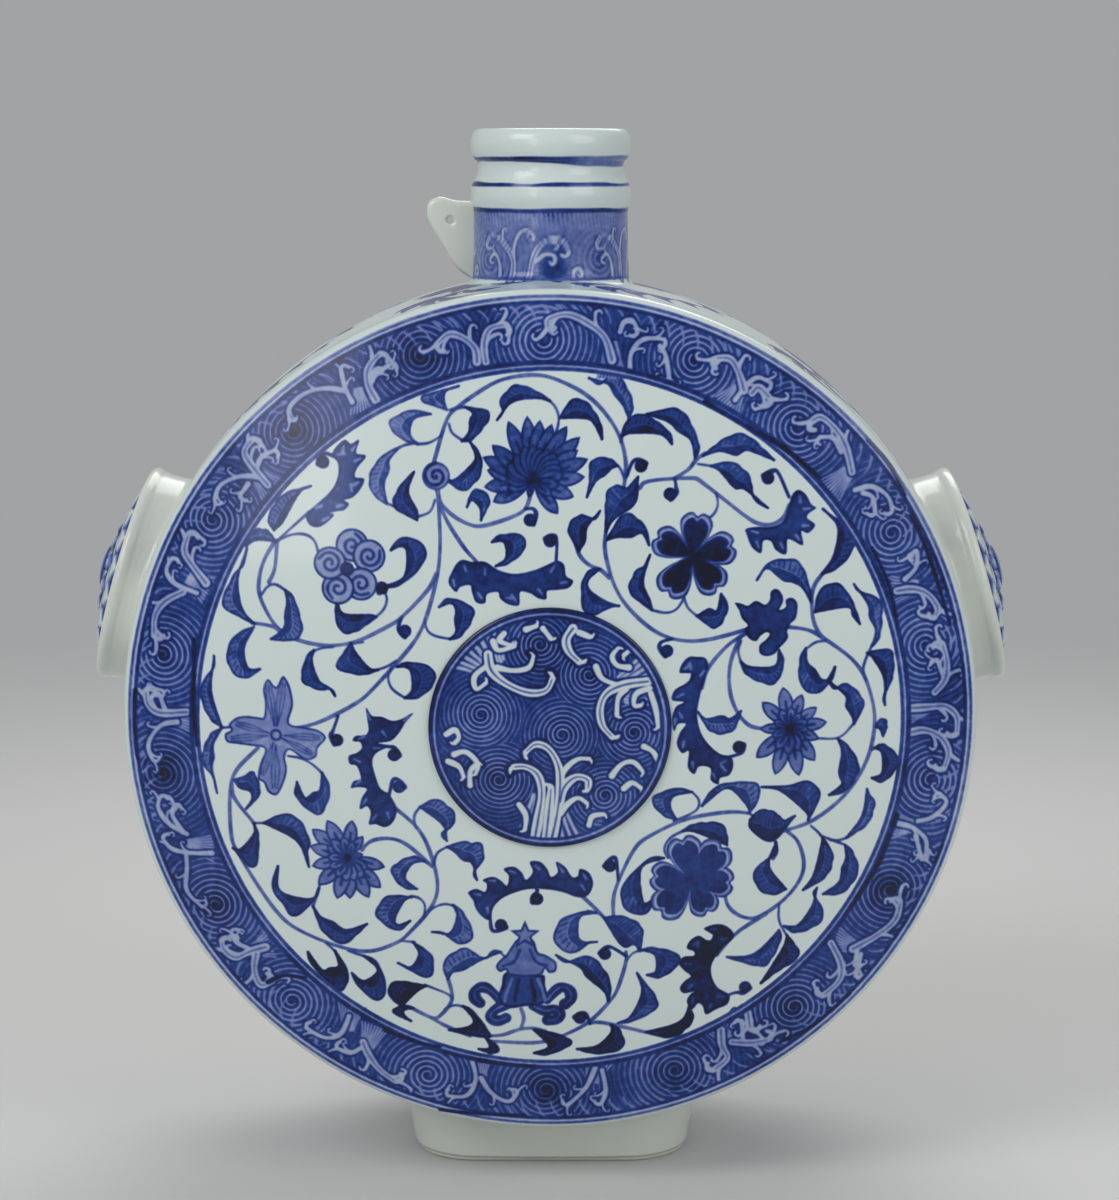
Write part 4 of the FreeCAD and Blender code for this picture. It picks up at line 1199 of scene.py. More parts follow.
def surface_piece(name, points, tone, material, replaced, closed=False, flip=False, keep=None,
                  poles=()):
    """A mesh piece from a grid of points in millimetres: quads between neighbours, smooth, with the cobalt
    tone as an attribute of its points and the grid's own rows and columns as its UV map; a pole row closes
    to its middle, and keep says which faces stay."""
    rows, columns = points.shape[:2]
    spots = points.reshape(-1, 3)
    tone = np.broadcast_to(tone, (rows, columns)).ravel()
    faces = grid_faces(rows, columns, closed)
    if keep is not None:
        faces = faces[keep(spots[faces].mean(1))]
    margin = 0.01
    u, v = faces % columns, faces // columns
    if closed:
        u = np.where((u == 0) & (u.max(1, keepdims=True) == columns - 1), columns, u)
    scale = np.array([columns if closed else columns - 1, rows - 1])
    uv = [(np.stack([u, v], -1) / scale * (1 - 2 * margin) + margin).reshape(-1, 2)]
    corners, sides = [faces], [np.full(len(faces), 4)]
    around = np.arange(columns)
    for row in poles:
        ring = row * columns + around
        middle = np.full(columns, len(spots))
        pair = (np.roll(ring, -1), ring) if row == 0 else (ring, np.roll(ring, -1))
        spots = np.vstack([spots, spots[ring].mean(0)])
        tone = np.append(tone, tone[ring].mean())
        corners.append(np.column_stack([*pair, middle]))
        sides.append(np.full(columns, 3))
        steps = (around + 1, around, around + 0.5) if row == 0 else (around, around + 1, around + 0.5)
        levels = (0.0, 0.0, -0.4 * margin) if row == 0 else (1.0, 1.0, 1 + 0.4 * margin)
        fan = [np.column_stack([step / columns, np.full(columns, level)])
               for step, level in zip(steps, levels)]
        uv.append((np.stack(fan, 1) * (1 - 2 * margin) + margin).reshape(-1, 2))
    if flip:
        uv = [part.reshape(len(c), -1, 2)[:, ::-1].reshape(-1, 2) for part, c in zip(uv, corners)]
        corners = [c[:, ::-1] for c in corners]
    loops = np.concatenate([c.ravel() for c in corners])
    sides = np.concatenate(sides)
    mesh = bpy.data.meshes.new(name)
    mesh.vertices.add(len(spots))
    mesh.vertices.foreach_set("co", (spots * MM).astype(np.float32).ravel())
    mesh.loops.add(loops.size)
    mesh.loops.foreach_set("vertex_index", loops.astype(np.int32))
    mesh.polygons.add(len(sides))
    mesh.polygons.foreach_set("loop_start", (np.cumsum(sides) - sides).astype(np.int32))
    mesh.polygons.foreach_set("use_smooth", np.ones(len(sides), bool))
    mesh.update(calc_edges=True)
    layer = mesh.attributes.new("cobalt", "FLOAT", "POINT")
    layer.data.foreach_set("value", tone.astype(np.float32))
    mesh.uv_layers.new(name="OFBake").data.foreach_set("uv", np.concatenate(uv).astype(np.float32).ravel())
    mesh.materials.append(material)
    piece = bpy.data.objects.new(name, mesh)
    bpy.context.scene.collection.objects.link(piece)
    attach(piece, "root")
    if replaced:
        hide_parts(*replaced)


def turned(profile, angles):
    """A profile of radius and depth turned about the drum's axis: a grid with one row for each profile
    point."""
    radius, depth = profile[:, :1], profile[:, 1:]
    return np.stack([radius * np.cos(angles), depth + 0 * angles, AXIS_HEIGHT + radius * np.sin(angles)], -1)


def upright(radius, height, angles):
    """Points round the Z axis at radii, heights and angles, which spread to one grid."""
    radius, height, angles = np.broadcast_arrays(radius, height, angles)
    return np.stack([radius * np.cos(angles), radius * np.sin(angles), height], -1)


def outside_mouth(radius):
    """The test that leaves out faces of the shoulder within a radius of the neck's axis."""
    return lambda p: (np.hypot(p[:, 0], p[:, 1]) > radius) | (p[:, 2] < AXIS_HEIGHT)


def set_inputs(node, values):
    """The node, with the named inputs set."""
    for name, value in values.items():
        node.inputs[name].default_value = value
    return node


def new_material(name, values):
    """A new material, its nodes and links, and its main shader with the named inputs set."""
    material = bpy.data.materials.new(name)
    material.use_nodes = True
    nodes = material.node_tree.nodes
    return material, nodes, material.node_tree.links, set_inputs(nodes["Principled BSDF"], values)


def noise(nodes, links, scale, detail):
    """The value of a noise texture that reads the object's own coordinates."""
    node = set_inputs(nodes.new("ShaderNodeTexNoise"), {"Scale": scale, "Detail": detail})
    links.new(nodes.new("ShaderNodeTexCoord").outputs["Object"], node.inputs["Vector"])
    return node.outputs["Fac"]


def ramp(nodes, stops):
    """A colour ramp node with the given positions and colours."""
    node = nodes.new("ShaderNodeValToRGB")
    elements = node.color_ramp.elements
    while len(elements) < len(stops):
        elements.new(0.5)
    for element, (position, colour) in zip(elements, stops):
        element.position = position
        element.color = (*colour, 1.0)
    return node


def glaze_material(name, glaze_colour, gloss=1.0):
    """Glazed porcelain: the cobalt attribute, mottled by fine and broad noise, runs a ramp from bare glaze
    through violet wash and cobalt to heaped near-black, under a glossy coat; faint ripples stir the
    coat."""
    colours = bpy.context.scene.flask_colours
    material, nodes, links, shader = new_material(name, {
        "Roughness": 0.22, "Specular IOR Level": 0.28 * gloss, "Coat Weight": 0.30 * gloss,
        "Coat Roughness": 0.07,
    })
    tone = nodes.new("ShaderNodeAttribute")
    tone.attribute_name = "cobalt"

    def mix(operation, first, second):
        node = nodes.new("ShaderNodeMath")
        node.operation = operation
        for socket, value in zip(node.inputs, (first, second)):
            if isinstance(value, float):
                socket.default_value = value
            else:
                links.new(value, socket)
        return node.outputs[0]

    fine = mix("MULTIPLY", noise(nodes, links, 300.0, 4.0), 0.62)
    broad = mix("MULTIPLY", noise(nodes, links, 34.0, 3.0), 0.72)
    depth = mix("MULTIPLY", tone.outputs["Fac"], mix("ADD", mix("ADD", fine, broad), 0.34))
    paint = ramp(nodes, (
        (0.0, glaze_colour), (0.10, tuple(0.93 * c for c in glaze_colour)), (0.36, colours.violet_wash),
        (0.61, colours.cobalt), (0.84, colours.deep_cobalt), (1.0, colours.heaped_cobalt),
    ))
    links.new(depth, paint.inputs["Fac"])
    links.new(paint.outputs["Color"], shader.inputs["Base Color"])
    bump = set_inputs(nodes.new("ShaderNodeBump"), {"Strength": 0.05, "Distance": 0.002})
    links.new(noise(nodes, links, 60.0, 2.0), bump.inputs["Height"])
    links.new(bump.outputs["Normal"], shader.inputs["Normal"])
    return material


def biscuit_material(name, biscuit_colour):
    """Unglazed ware: matt cream with a faint warm blush in broad patches."""
    material, nodes, links, shader = new_material(name, {"Roughness": 0.82, "Specular IOR Level": 0.3})
    warm = tuple(c * share for c, share in zip(biscuit_colour, (0.98, 0.90, 0.79)))
    shade = ramp(nodes, ((0.38, biscuit_colour), (0.72, warm)))
    links.new(noise(nodes, links, 18.0, 6.0), shade.inputs["Fac"])
    links.new(shade.outputs["Color"], shader.inputs["Base Color"])
    return material


def shared_material(name, colour, make=glaze_material):
    """The named material, made the first time it is asked for."""
    return bpy.data.materials.get(name) or make(name, colour)


def plain_length(name, description, default):
    """A length property, its default given in millimetres."""
    return bpy.props.FloatProperty(name=name, description=description, default=default * MM, unit="LENGTH",
                                   subtype="DISTANCE", precision=5)


def plain_colour(name, description, default):
    """A colour property."""
    return bpy.props.FloatVectorProperty(name=name, description=description, default=default, size=3,
                                         subtype="COLOR", min=0.0, max=1.0)


class FlaskSizes(bpy.types.PropertyGroup):
    """Sizes of the flask's surfaces."""

    crown_radius: plain_length("Crown radius", "Radius of the side wall at mid depth", 189.4)
    crown_bulge: plain_length("Crown bulge", "Swell of the side wall over its edges", 2.7)
    front_edge_depth: plain_length("Front edge depth", "Front edge before the neck's axis", 76.8)
    dome_rise: plain_length("Dome rise", "Rise of the front over its edge", 23.5)
    back_depth: plain_length("Back depth", "Depth of the flat back behind the neck's axis", BACK_HIGH[1])
    edge_round: plain_length("Edge round", "Radius of the front and back edges", 5.0)
    glazed_width: plain_length("Glazed width", "Width of the glazed rim on the back", 5.7)
    recess_radius: plain_length("Recess radius", "Radius of the recess in the back", 92.0)
    recess_depth: plain_length("Recess depth", "Depth of the recess in the back", 4.0)
    recess_slope: plain_length("Recess slope", "Width of the recess's sloping side", 6.0)
    boss_rise: plain_length("Boss rise", "Rise of the medallion over its edge", 3.6)
    boss_round: plain_length("Boss round", "Radius of the medallion's edge", 1.2)
    mouth_radius: plain_length("Mouth radius", "Radius of the mouth's bore", 28.0)
    neck_radius: plain_length("Neck radius", "Radius of the neck at its foot", 35.4)
    neck_spread: plain_length("Neck spread", "Spread of the neck onto the wall", 5.0)
    upper_line: plain_length("Upper line", "Height of the upper painted line on the neck", 456.5)
    lower_line: plain_length("Lower line", "Height of the lower painted line on the neck", 445.3)
    wave_high: plain_length("Wave band top", "Top of the painted band of the neck", 434.0)
    wave_low: plain_length("Wave band foot", "Foot of the painted band of the neck", 403.4)
    lug_height: plain_length("Lug height", "Height of a lug over the side wall", 13.4)
    lug_radius: plain_length("Lug radius", "Radius of a lug's rim", 49.8)
    lug_waist: plain_length("Lug waist", "Radius of a lug's waist", 48.4)
    lug_spread: plain_length("Lug spread", "Spread of a lug onto the wall", 6.0)
    rosette_radius: plain_length("Rosette radius", "Radius of a carved rosette", 42.0)
    rosette_rise: plain_length("Rosette rise", "Rise of a carved rosette", 10.5)
    tab_thickness: plain_length("Tab thickness", "Thickness of the pierced tab", 9.0)
    tab_hole: plain_length("Tab hole", "Radius of the tab's hole", 1.7)
    foot_half_width: plain_length("Foot half width", "Half the foot's width where it stands", 63.0)
    foot_half_depth: plain_length("Foot half depth", "Half the foot's depth where it stands", 42.0)
    foot_corner: plain_length("Foot corner", "Radius of the foot's corners", 28.0)
    foot_spread: plain_length("Foot spread", "Spread of the foot up to the body", 6.0)
    foot_wall: plain_length("Foot wall", "Width of the foot's standing ring", 11.0)
    foot_round: plain_length("Foot round", "Radius of the foot's lower edge", 3.0)


class FlaskColours(bpy.types.PropertyGroup):
    """Colours of the glaze and the painting."""

    bare_glaze: plain_colour("Bare glaze", "The clear glaze over white porcelain", (0.62, 0.71, 0.69))
    warm_glaze: plain_colour("Warm glaze", "The glaze on the lugs, tab and foot", (0.66, 0.70, 0.63))
    biscuit: plain_colour("Biscuit", "The unglazed porcelain of the recess", (0.62, 0.55, 0.46))
    violet_wash: plain_colour("Violet wash", "Thin cobalt wash", (0.16, 0.21, 0.47))
    cobalt: plain_colour("Cobalt", "Cobalt at its usual strength", (0.009, 0.044, 0.240))
    deep_cobalt: plain_colour("Deep cobalt", "Cobalt laid twice", (0.001, 0.011, 0.100))
    heaped_cobalt: plain_colour("Heaped cobalt", "Cobalt gathered and darkened", (0.001, 0.003, 0.022))


def scene_sizes():
    """The scene's flask sizes as plain numbers in millimetres."""
    group = bpy.context.scene.flask_sizes
    return SimpleNamespace(**{name: getattr(group, name) / MM for name in FlaskSizes.__annotations__})


class FLASK_OT_front(bpy.types.Operator):
    """Build the domed front: the flower field and the wave border with its turned edge"""

    bl_idname = "flask.front"
    bl_label = "Domed front"

    def execute(self, context):
        size = scene_sizes()
        body = Body(size)
        reach = body.edge_radius + FRONT_MARGIN
        sheet = Sheet(reach, reach, FRONT_STEP)
        paint_scroll(sheet, body)
        paint_border(sheet, body)
        glaze = shared_material("front_painting", context.scene.flask_colours.bare_glaze)
        radius = np.linspace(BOSS_RADIUS - FIELD_OVERLAP, FIELD_RADIUS, FIELD_ROWS)
        field = np.column_stack([radius, body.dome_depth(radius)])
        self.add_sectors("field", field, FIELD_SECTORS, FIELD_COLUMNS, sheet, glaze, size)
        slope = math.asin(body.edge_radius / body.dome_radius)
        corner = np.array([body.edge_radius, -size.front_edge_depth])
        outward = np.array([math.sin(slope), -math.cos(slope)])
        rim = body.rim_profile(outward, corner, body.front_seam, RIM_ROWS)
        radius = np.linspace(FIELD_RADIUS, rim[0, 0], BORDER_ROWS)[:-1]
        border = np.vstack([np.column_stack([radius, body.dome_depth(radius)]), rim])
        self.add_sectors("border", border, BORDER_SECTORS, BORDER_COLUMNS, sheet, glaze, size)
        return {"FINISHED"}

    def add_sectors(self, name, profile, count, columns, sheet, glaze, size):
        """A turned profile cut into equal sectors, each its own piece."""
        for k in range(count):
            angles = np.linspace(2 * math.pi * k / count, 2 * math.pi * (k + 1) / count, columns)
            points = turned(profile, angles)
            tone = sheet.at(points[..., 0], points[..., 2] - AXIS_HEIGHT)
            on_side = points[..., 1] > size.edge_round - size.front_edge_depth
            tone = np.where(on_side, side_tone(size, points), tone)
            surface_piece(f"{name}_{k + 1}", points, tone, glaze, ["front_shell"],
                          flip=True)


class FLASK_OT_medallion(bpy.types.Operator):
    """Build the convex medallion in the middle of the front"""

    bl_idname = "flask.medallion"
    bl_label = "Medallion"

    def execute(self, context):
        size = scene_sizes()
        body = Body(size)
        reach = BOSS_RADIUS + MEDALLION_MARGIN
        sheet = Sheet(reach, reach, MEDALLION_STEP)
        paint_medallion(sheet, body)
        curve = circle_radius(BOSS_RADIUS, size.boss_rise)
        top = BOSS_LOW[1]
        flat = BOSS_RADIUS - size.boss_round
        radius = np.linspace(0.05, flat, MEDALLION_ROWS)
        lip = np.linspace(0, 0.5 * math.pi, 7)[1:]
        round_depth = top + arc_drop(curve, flat) + size.boss_round * (1 - np.cos(lip))
        profile = np.vstack([
            np.column_stack([radius, top + arc_drop(curve, radius)]),
            np.column_stack([flat + size.boss_round * np.sin(lip), round_depth]),
            (BOSS_RADIUS, body.dome_depth(BOSS_RADIUS) + BOSS_SINK),
        ])
        points = turned(profile, full_turn(MEDALLION_COLUMNS))
        tone = sheet.at(points[..., 0], points[..., 2] - AXIS_HEIGHT)
        glaze = shared_material("medallion_painting", context.scene.flask_colours.bare_glaze)
        surface_piece("medallion", points, tone, glaze, ["medallion_boss"], closed=True,
                      flip=True, poles=(0,))
        return {"FINISHED"}


class FLASK_OT_side(bpy.types.Operator):
    """Build the barrel side with its running scroll, open under the neck"""

    bl_idname = "flask.side"
    bl_label = "Side wall"

    def execute(self, context):
        size = scene_sizes()
        body = Body(size)
        glaze = glaze_material("side_painting", context.scene.flask_colours.bare_glaze, 0.4)
        depth = np.linspace(body.front_seam, body.back_seam, SIDE_ROWS)
        profile = np.column_stack([body.side_radius(depth), depth])
        hole = 0.5 * (size.mouth_radius + size.neck_radius)
        for name, start, stop, columns, node in SIDE_SPANS:
            points = turned(profile, np.radians(np.linspace(start, stop, columns)))
            surface_piece(name, points, side_tone(size, points), glaze, [node], flip=True,
                          keep=outside_mouth(hole))
        return {"FINISHED"}


class FLASK_OT_back(bpy.types.Operator):
    """Build the glazed turned edge of the back and its flat unglazed face with a recess"""

    bl_idname = "flask.back"
    bl_label = "Flat back"

    def execute(self, context):
        size = scene_sizes()
        body = Body(size)
        colours = context.scene.flask_colours
        corner = np.array([body.side_radius(size.back_depth), size.back_depth])
        rim = body.rim_profile(np.array([0.0, 1.0]), corner, body.back_seam, RIM_ROWS)[::-1]
        edge = size.recess_radius + size.recess_slope
        bare_edge = rim[-1, 0] - size.glazed_width
        glazed = np.vstack([rim, (bare_edge, size.back_depth)])
        flat = np.linspace(bare_edge, edge, 18)[:-1]
        slope = np.linspace(0, 1, 16)
        ease = slope * slope * (3 - 2 * slope)
        floor = np.linspace(size.recess_radius, 0.2, 14)[1:]
        bare = np.vstack([
            np.column_stack([flat, np.full(len(flat), size.back_depth)]),
            np.column_stack([edge - size.recess_slope * slope, size.back_depth - size.recess_depth * ease]),
            np.column_stack([floor, np.full(len(floor), size.back_depth - size.recess_depth)]),
        ])
        points = turned(glazed, full_turn(BACK_EDGE_COLUMNS))
        glaze = shared_material("plain_glaze", colours.bare_glaze)
        surface_piece("back_edge", points, side_tone(size, points), glaze, ["back_shell"],
                      closed=True, flip=True)
        biscuit = shared_material("recess_biscuit", colours.biscuit, biscuit_material)
        points = turned(bare, full_turn(BACK_FACE_COLUMNS))
        surface_piece("back_face", points, BARE, biscuit, ["back_shell"], closed=True,
                      flip=True, poles=(len(bare) - 1,))
        return {"FINISHED"}


def neck_profile(size):
    """Radius and height up the neck's outside, over the lip and down the bore: a smooth curve through the
    same points as the CAD's outside, then the lip and the straight bore."""
    top = NECK_HIGH[2]
    outside = curve_through(np.array([
        (size.neck_radius - 0.4, 416.0), (34.9, 426.0), (34.8, 431.5), (35.0, 434.0), (36.0, 438.0),
        (36.2, 441.0), (35.6, 445.0), (34.3, 447.6), (33.1, 450.2), (32.7, 453.0), (33.2, 455.4),
        (34.5, 456.6), (35.7, 459.2), (36.2, 463.2), (35.5, 467.0), (33.8, 469.4), (32.1, top),
    ]))
    bore = size.mouth_radius
    lip = np.array([
        (32.0, top), (30.8, top), (29.6, top - 0.5), (28.6, top - 1.4), (bore, top - 2.6), (bore, top - 20),
        (bore, top - 45), (bore, 398.0),
    ])
    return outside, lip


class FLASK_OT_neck(bpy.types.Operator):
    """Build the neck with its lip, ridge and painted band, spreading onto the wall"""

    bl_idname = "flask.neck"
    bl_label = "Neck"

    def execute(self, context):
        size = scene_sizes()
        body = Body(size)
        outside, lip = neck_profile(size)
        angles = full_turn(NECK_COLUMNS)
        base = size.neck_radius + size.neck_spread
        wall = body.wall_height(base * np.cos(angles), base * np.sin(angles)) - NECK_SINK
        turn = 0.5 * math.pi * np.linspace(0, 1, 14)[:, None]
        height = wall + size.neck_spread * NECK_FLARE * (1 - np.cos(turn))
        foot = upright(base - size.neck_spread * np.sin(turn), height, angles)
        rise = np.linspace(0, 1, SHAFT_ROWS)[1:, None]
        start, (radius, stop) = height[-1], outside[0]
        taper = size.neck_radius + (radius - size.neck_radius) * rise
        shaft = upright(taper, start + (stop - start) * rise, angles)
        profile = np.vstack([outside, lip])[1:]
        points = np.vstack([foot, shaft, upright(profile[:, :1], profile[:, 1:], angles)])
        half_length = math.pi * size.neck_radius
        sheet = Sheet(half_length, NECK_SHEET_REACH, NECK_STEP)
        paint_neck(sheet, size, half_length)
        around = (np.broadcast_to(angles, points.shape[:2]) - 0.5 * math.pi) % (2 * math.pi) - math.pi
        tone = sheet.at(around * size.neck_radius, points[..., 2])
        tone[-len(lip):] = BARE
        glaze = shared_material("neck_painting", context.scene.flask_colours.bare_glaze)
        surface_piece("neck_painted", points, tone, glaze, ["neck"], closed=True)
        return {"FINISHED"}


# Outline of the tab as shares of its reach out of the neck and of its height, from its crest to its toe
TAB_OUTLINE_SHARES = (
    (-0.12, 0.95), (0.0, 0.95), (0.36, 0.96), (0.70, 1.0), (0.93, 0.955), (1.0, 0.85), (0.94, 0.69),
    (0.62, 0.41), (0.36, 0.18), (0.0, 0.04), (-0.12, 0.02), (-0.14, 0.3), (-0.14, 0.65),
)
TAB_HOLE_SHARES = (0.48, 0.73)


class FLASK_OT_tab(bpy.types.Operator):
    """Build the pierced tab beside the neck"""

    bl_idname = "flask.tab"
    bl_label = "Pierced tab"

    def execute(self, context):
        size = scene_sizes()
        low, high = node_box("stopper_tab")
        foot = AXIS_HEIGHT + size.crown_radius - TAB_DROP
        corner = np.array([-size.neck_radius, foot])
        reach = np.array([low[0] + size.neck_radius, high[2] - foot])
        outline = curve_through(corner + reach * (TAB_OUTLINE_SHARES + TAB_OUTLINE_SHARES[:1]), 14)[:-1]
        hole = corner + reach * TAB_HOLE_SHARES
        length = np.linalg.norm(outline - hole, axis=1)
        ray = (outline - hole) / length[:, None]
        half = 0.5 * size.tab_thickness
        turn = np.linspace(0, 0.5 * math.pi, 7)
        rise, fall = TAB_EDGE * (1 - np.sin(turn)), TAB_EDGE * (1 - np.cos(turn))
        rim = length - np.append(rise, fall[1:])[:, None]
        mouth = size.tab_hole + TAB_BEVEL
        face = mouth + (length - TAB_EDGE - mouth) * np.linspace(0, 1, 10)[:-1, None]
        bore = np.full((1, len(length)), size.tab_hole)
        radius = np.vstack([bore, face, rim, face[::-1], bore, bore])
        flat = np.full(len(face), half)
        bevel = half - TAB_BEVEL
        depth = np.concatenate([[-bevel], -flat, fall - half, half - rise[1:], flat, [bevel, -bevel]])
        points = np.stack([
            hole[0] + radius * ray[:, 0], depth[:, None] + 0 * radius, hole[1] + radius * ray[:, 1],
        ], -1)
        glaze = shared_material("warm_glaze", context.scene.flask_colours.warm_glaze)
        surface_piece("pierced_tab", points, BARE, glaze, ["stopper_tab"], closed=True,
                      flip=True)
        return {"FINISHED"}


# How far above level the lugs point, in degrees
LUG_ANGLE = 15.5


def lean_out(points, side):
    """Carry points from the Z axis to a flank: up becomes outward, at the lugs' angle above level."""
    angle = math.radians(LUG_ANGLE)
    outward = np.array([side * math.cos(angle), 0.0, math.sin(angle)])
    along = np.array([-side * math.sin(angle), 0.0, math.cos(angle)])
    return points @ np.array([along, (0.0, 1.0, 0.0), outward]) + (0.0, 0.0, AXIS_HEIGHT)


class FLASK_OT_lugs(bpy.types.Operator):
    """Build the round lugs on both flanks"""

    bl_idname = "flask.lugs"
    bl_label = "Lugs"

    def execute(self, context):
        size = scene_sizes()
        body = Body(size)
        face = size.crown_radius + size.lug_height
        angles = full_turn(LUG_COLUMNS)
        base = size.lug_waist + size.lug_spread
        along, across = base * np.cos(angles), base * np.sin(angles)
        wall = np.sqrt(np.square(body.side_radius(across)) - np.square(along)) - LUG_SINK
        share = np.linspace(0, 1, SHAFT_ROWS)[:, None]
        waist = face - LUG_RIM
        ease = 1 - np.sqrt(1 - np.square(share))
        radius = base - size.lug_spread * (1 - np.square(1 - share) ** 1.2)
        height = wall + (waist - wall) * (0.25 * share + 0.75 * ease * (0.4 + 0.6 * share))
        edge = size.lug_radius
        rim = curve_through(np.array([
            (size.lug_waist, waist), (size.lug_waist + 0.4, face - 6.4), (edge - 0.3, face - 4.4),
            (edge, face - 2.6), (edge - 0.5, face - 0.9), (edge - 1.9, face), (edge - 5.0, face - 0.2),
            (size.rosette_radius - 6.0, face - 0.6), (10.0, face - 0.6), (0.1, face - 0.6),
        ]), 6)[1:]
        points = np.vstack([upright(radius, height, angles), upright(rim[:, :1], rim[:, 1:], angles)])
        glaze = shared_material("warm_glaze", context.scene.flask_colours.warm_glaze)
        for side, name in ((-1, "left_lug"), (1, "right_lug")):
            surface_piece(name + "_glazed", lean_out(points, side), BARE, glaze, [name],
                          closed=True, flip=side > 0, poles=(len(points) - 1,))
        return {"FINISHED"}


class FLASK_OT_rosettes(bpy.types.Operator):
    """Build the carved rosettes on the lugs' faces"""

    bl_idname = "flask.rosettes"
    bl_label = "Rosettes"

    def execute(self, context):
        size = scene_sizes()
        face = size.crown_radius + size.lug_height
        angles = full_turn(ROSETTE_COLUMNS)
        share = np.linspace(0.004, 1, ROSETTE_ROWS)[:, None]
        edge = size.rosette_radius
        rise = size.rosette_rise - ROSETTE_CARVING
        height, tone = self.carve(share, angles)
        relief = np.maximum(rise - arc_drop(circle_radius(edge, rise), edge * share) + height, 0.3)
        drop = np.clip((share - ROSETTE_EDGE) / (1 - ROSETTE_EDGE), 0, 1)
        points = upright(edge * share, face - ROSETTE_SINK + relief * (1 - drop ** 2), angles)
        glaze = shared_material("rosette_painting", context.scene.flask_colours.bare_glaze)
        for side, name in ((-1, "left_rosette"), (1, "right_rosette")):
            surface_piece(name + "_carved", lean_out(points, side), tone, glaze, [name],
                          closed=True, flip=side < 0, poles=(0,))
        return {"FINISHED"}

    def carve(self, share, angles):
        """Relief and tone of the rosette: a button, an inner and an outer ring of petals, each a half wave
        of the angle that swells towards its tip, and a zigzag rim; cobalt lies in the grooves and fades up
        the petals."""
        button_edge, ring_edge, rim_edge = 0.24, 0.55, 0.86
        petals = 12
        bead = np.sqrt(np.clip(1 - np.square(share / button_edge), 0, 1))
        height = 1.2 + 2.0 * bead + 0 * angles
        tone = 0.75 - 0.5 * bead + 0 * angles
        for low, high, turn in ((button_edge, ring_edge, 0.0), (ring_edge, rim_edge, 0.5)):
            t = np.clip((share - low) / (high - low), 0, 1)
            wave = np.abs(np.sin(0.5 * petals * angles + math.pi * turn))
            swell = np.sqrt(wave)
            tip = np.clip(1.25 - t ** 3 - (1 - wave) * (0.3 + t), 0, 1)
            petal = 2.4 * swell * (0.4 + 0.9 * t) * np.sqrt(np.clip(4 * (1.0 - t), 0, 1)) - 1.2
            shade = 0.95 - 1.15 * swell * np.clip(1.3 - t, 0, 1) ** 0.4 + 0.3 * (1 - tip)
            height = np.where(share >= low, petal, height)
            tone = np.where(share >= low, np.clip(shade, 0.06, 0.95), tone)
        zigzag = np.abs((1.5 * petals * angles / math.pi) % 2 - 1)
        t = np.clip((share - rim_edge) / (1 - rim_edge), 0, 1)
        tooth = np.clip((zigzag - t) * 6, -1, 1)
        height = np.where(share >= rim_edge, 0.8 + 0.8 * tooth, height)
        tone = np.where(share >= rim_edge, 0.42 - 0.36 * tooth, tone)
        return height, tone


class FLASK_OT_foot(bpy.types.Operator):
    """Build the hollow foot under the body"""

    bl_idname = "flask.foot"
    bl_label = "Foot"

    def execute(self, context):
        size = scene_sizes()
        body = Body(size)
        share = np.linspace(0, 1, SHAFT_ROWS)
        turn = np.linspace(0, 0.5 * math.pi, 8)
        inwards, upwards = 1 - np.cos(turn), 1 - np.sin(turn)
        grown = np.concatenate([
            FOOT_INNER_FLARE * size.foot_spread * share[::-1] - size.foot_wall,
            FOOT_INNER_ROUND * inwards - size.foot_wall, -size.foot_round * inwards[::-1],
            size.foot_spread * share[2:],
        ])[:, None]
        climb = np.concatenate([share[::-1], np.zeros(2 * len(turn)), share[2:]])[:, None]
        lift = np.concatenate([
            0 * share, FOOT_INNER_ROUND * upwards, size.foot_round * upwards[::-1], 0 * share[2:],
        ])[:, None]
        x, y = self.outline(size, full_turn(FOOT_COLUMNS), grown)
        points = np.stack([x, y, (body.wall_height(x, y, -1) + FOOT_SINK) * climb + lift], -1)
        glaze = shared_material("warm_glaze", context.scene.flask_colours.warm_glaze)
        surface_piece("foot_glazed", points, BARE, glaze, ["foot_ring"], closed=True)
        return {"FINISHED"}

    def outline(self, size, angles, grown):
        """A rectangle with round corners, grown outwards: each quarter of the angle runs along half of one
        side, round the corner's circle and along half of the next side."""
        quarter, part = np.divmod(angles / (0.5 * math.pi), 1)
        turn = 0.5 * math.pi * (quarter + np.clip(2 * part - 0.5, 0, 1))
        slide = np.clip(4 * np.minimum(part, 1 - part), 0, 1)
        along_x = (quarter % 2 == 0) == (part > 0.5)
        corner = size.foot_corner + grown
        middle_x = np.where(quarter % 3 == 0, 1, -1) * (size.foot_half_width - size.foot_corner)
        middle_y = np.where(quarter < 2, 1, -1) * (size.foot_half_depth - size.foot_corner)
        x = np.where(along_x, slide, 1) * (middle_x + corner * np.cos(turn))
        y = np.where(along_x, 1, slide) * (middle_y + corner * np.sin(turn))
        return x, y


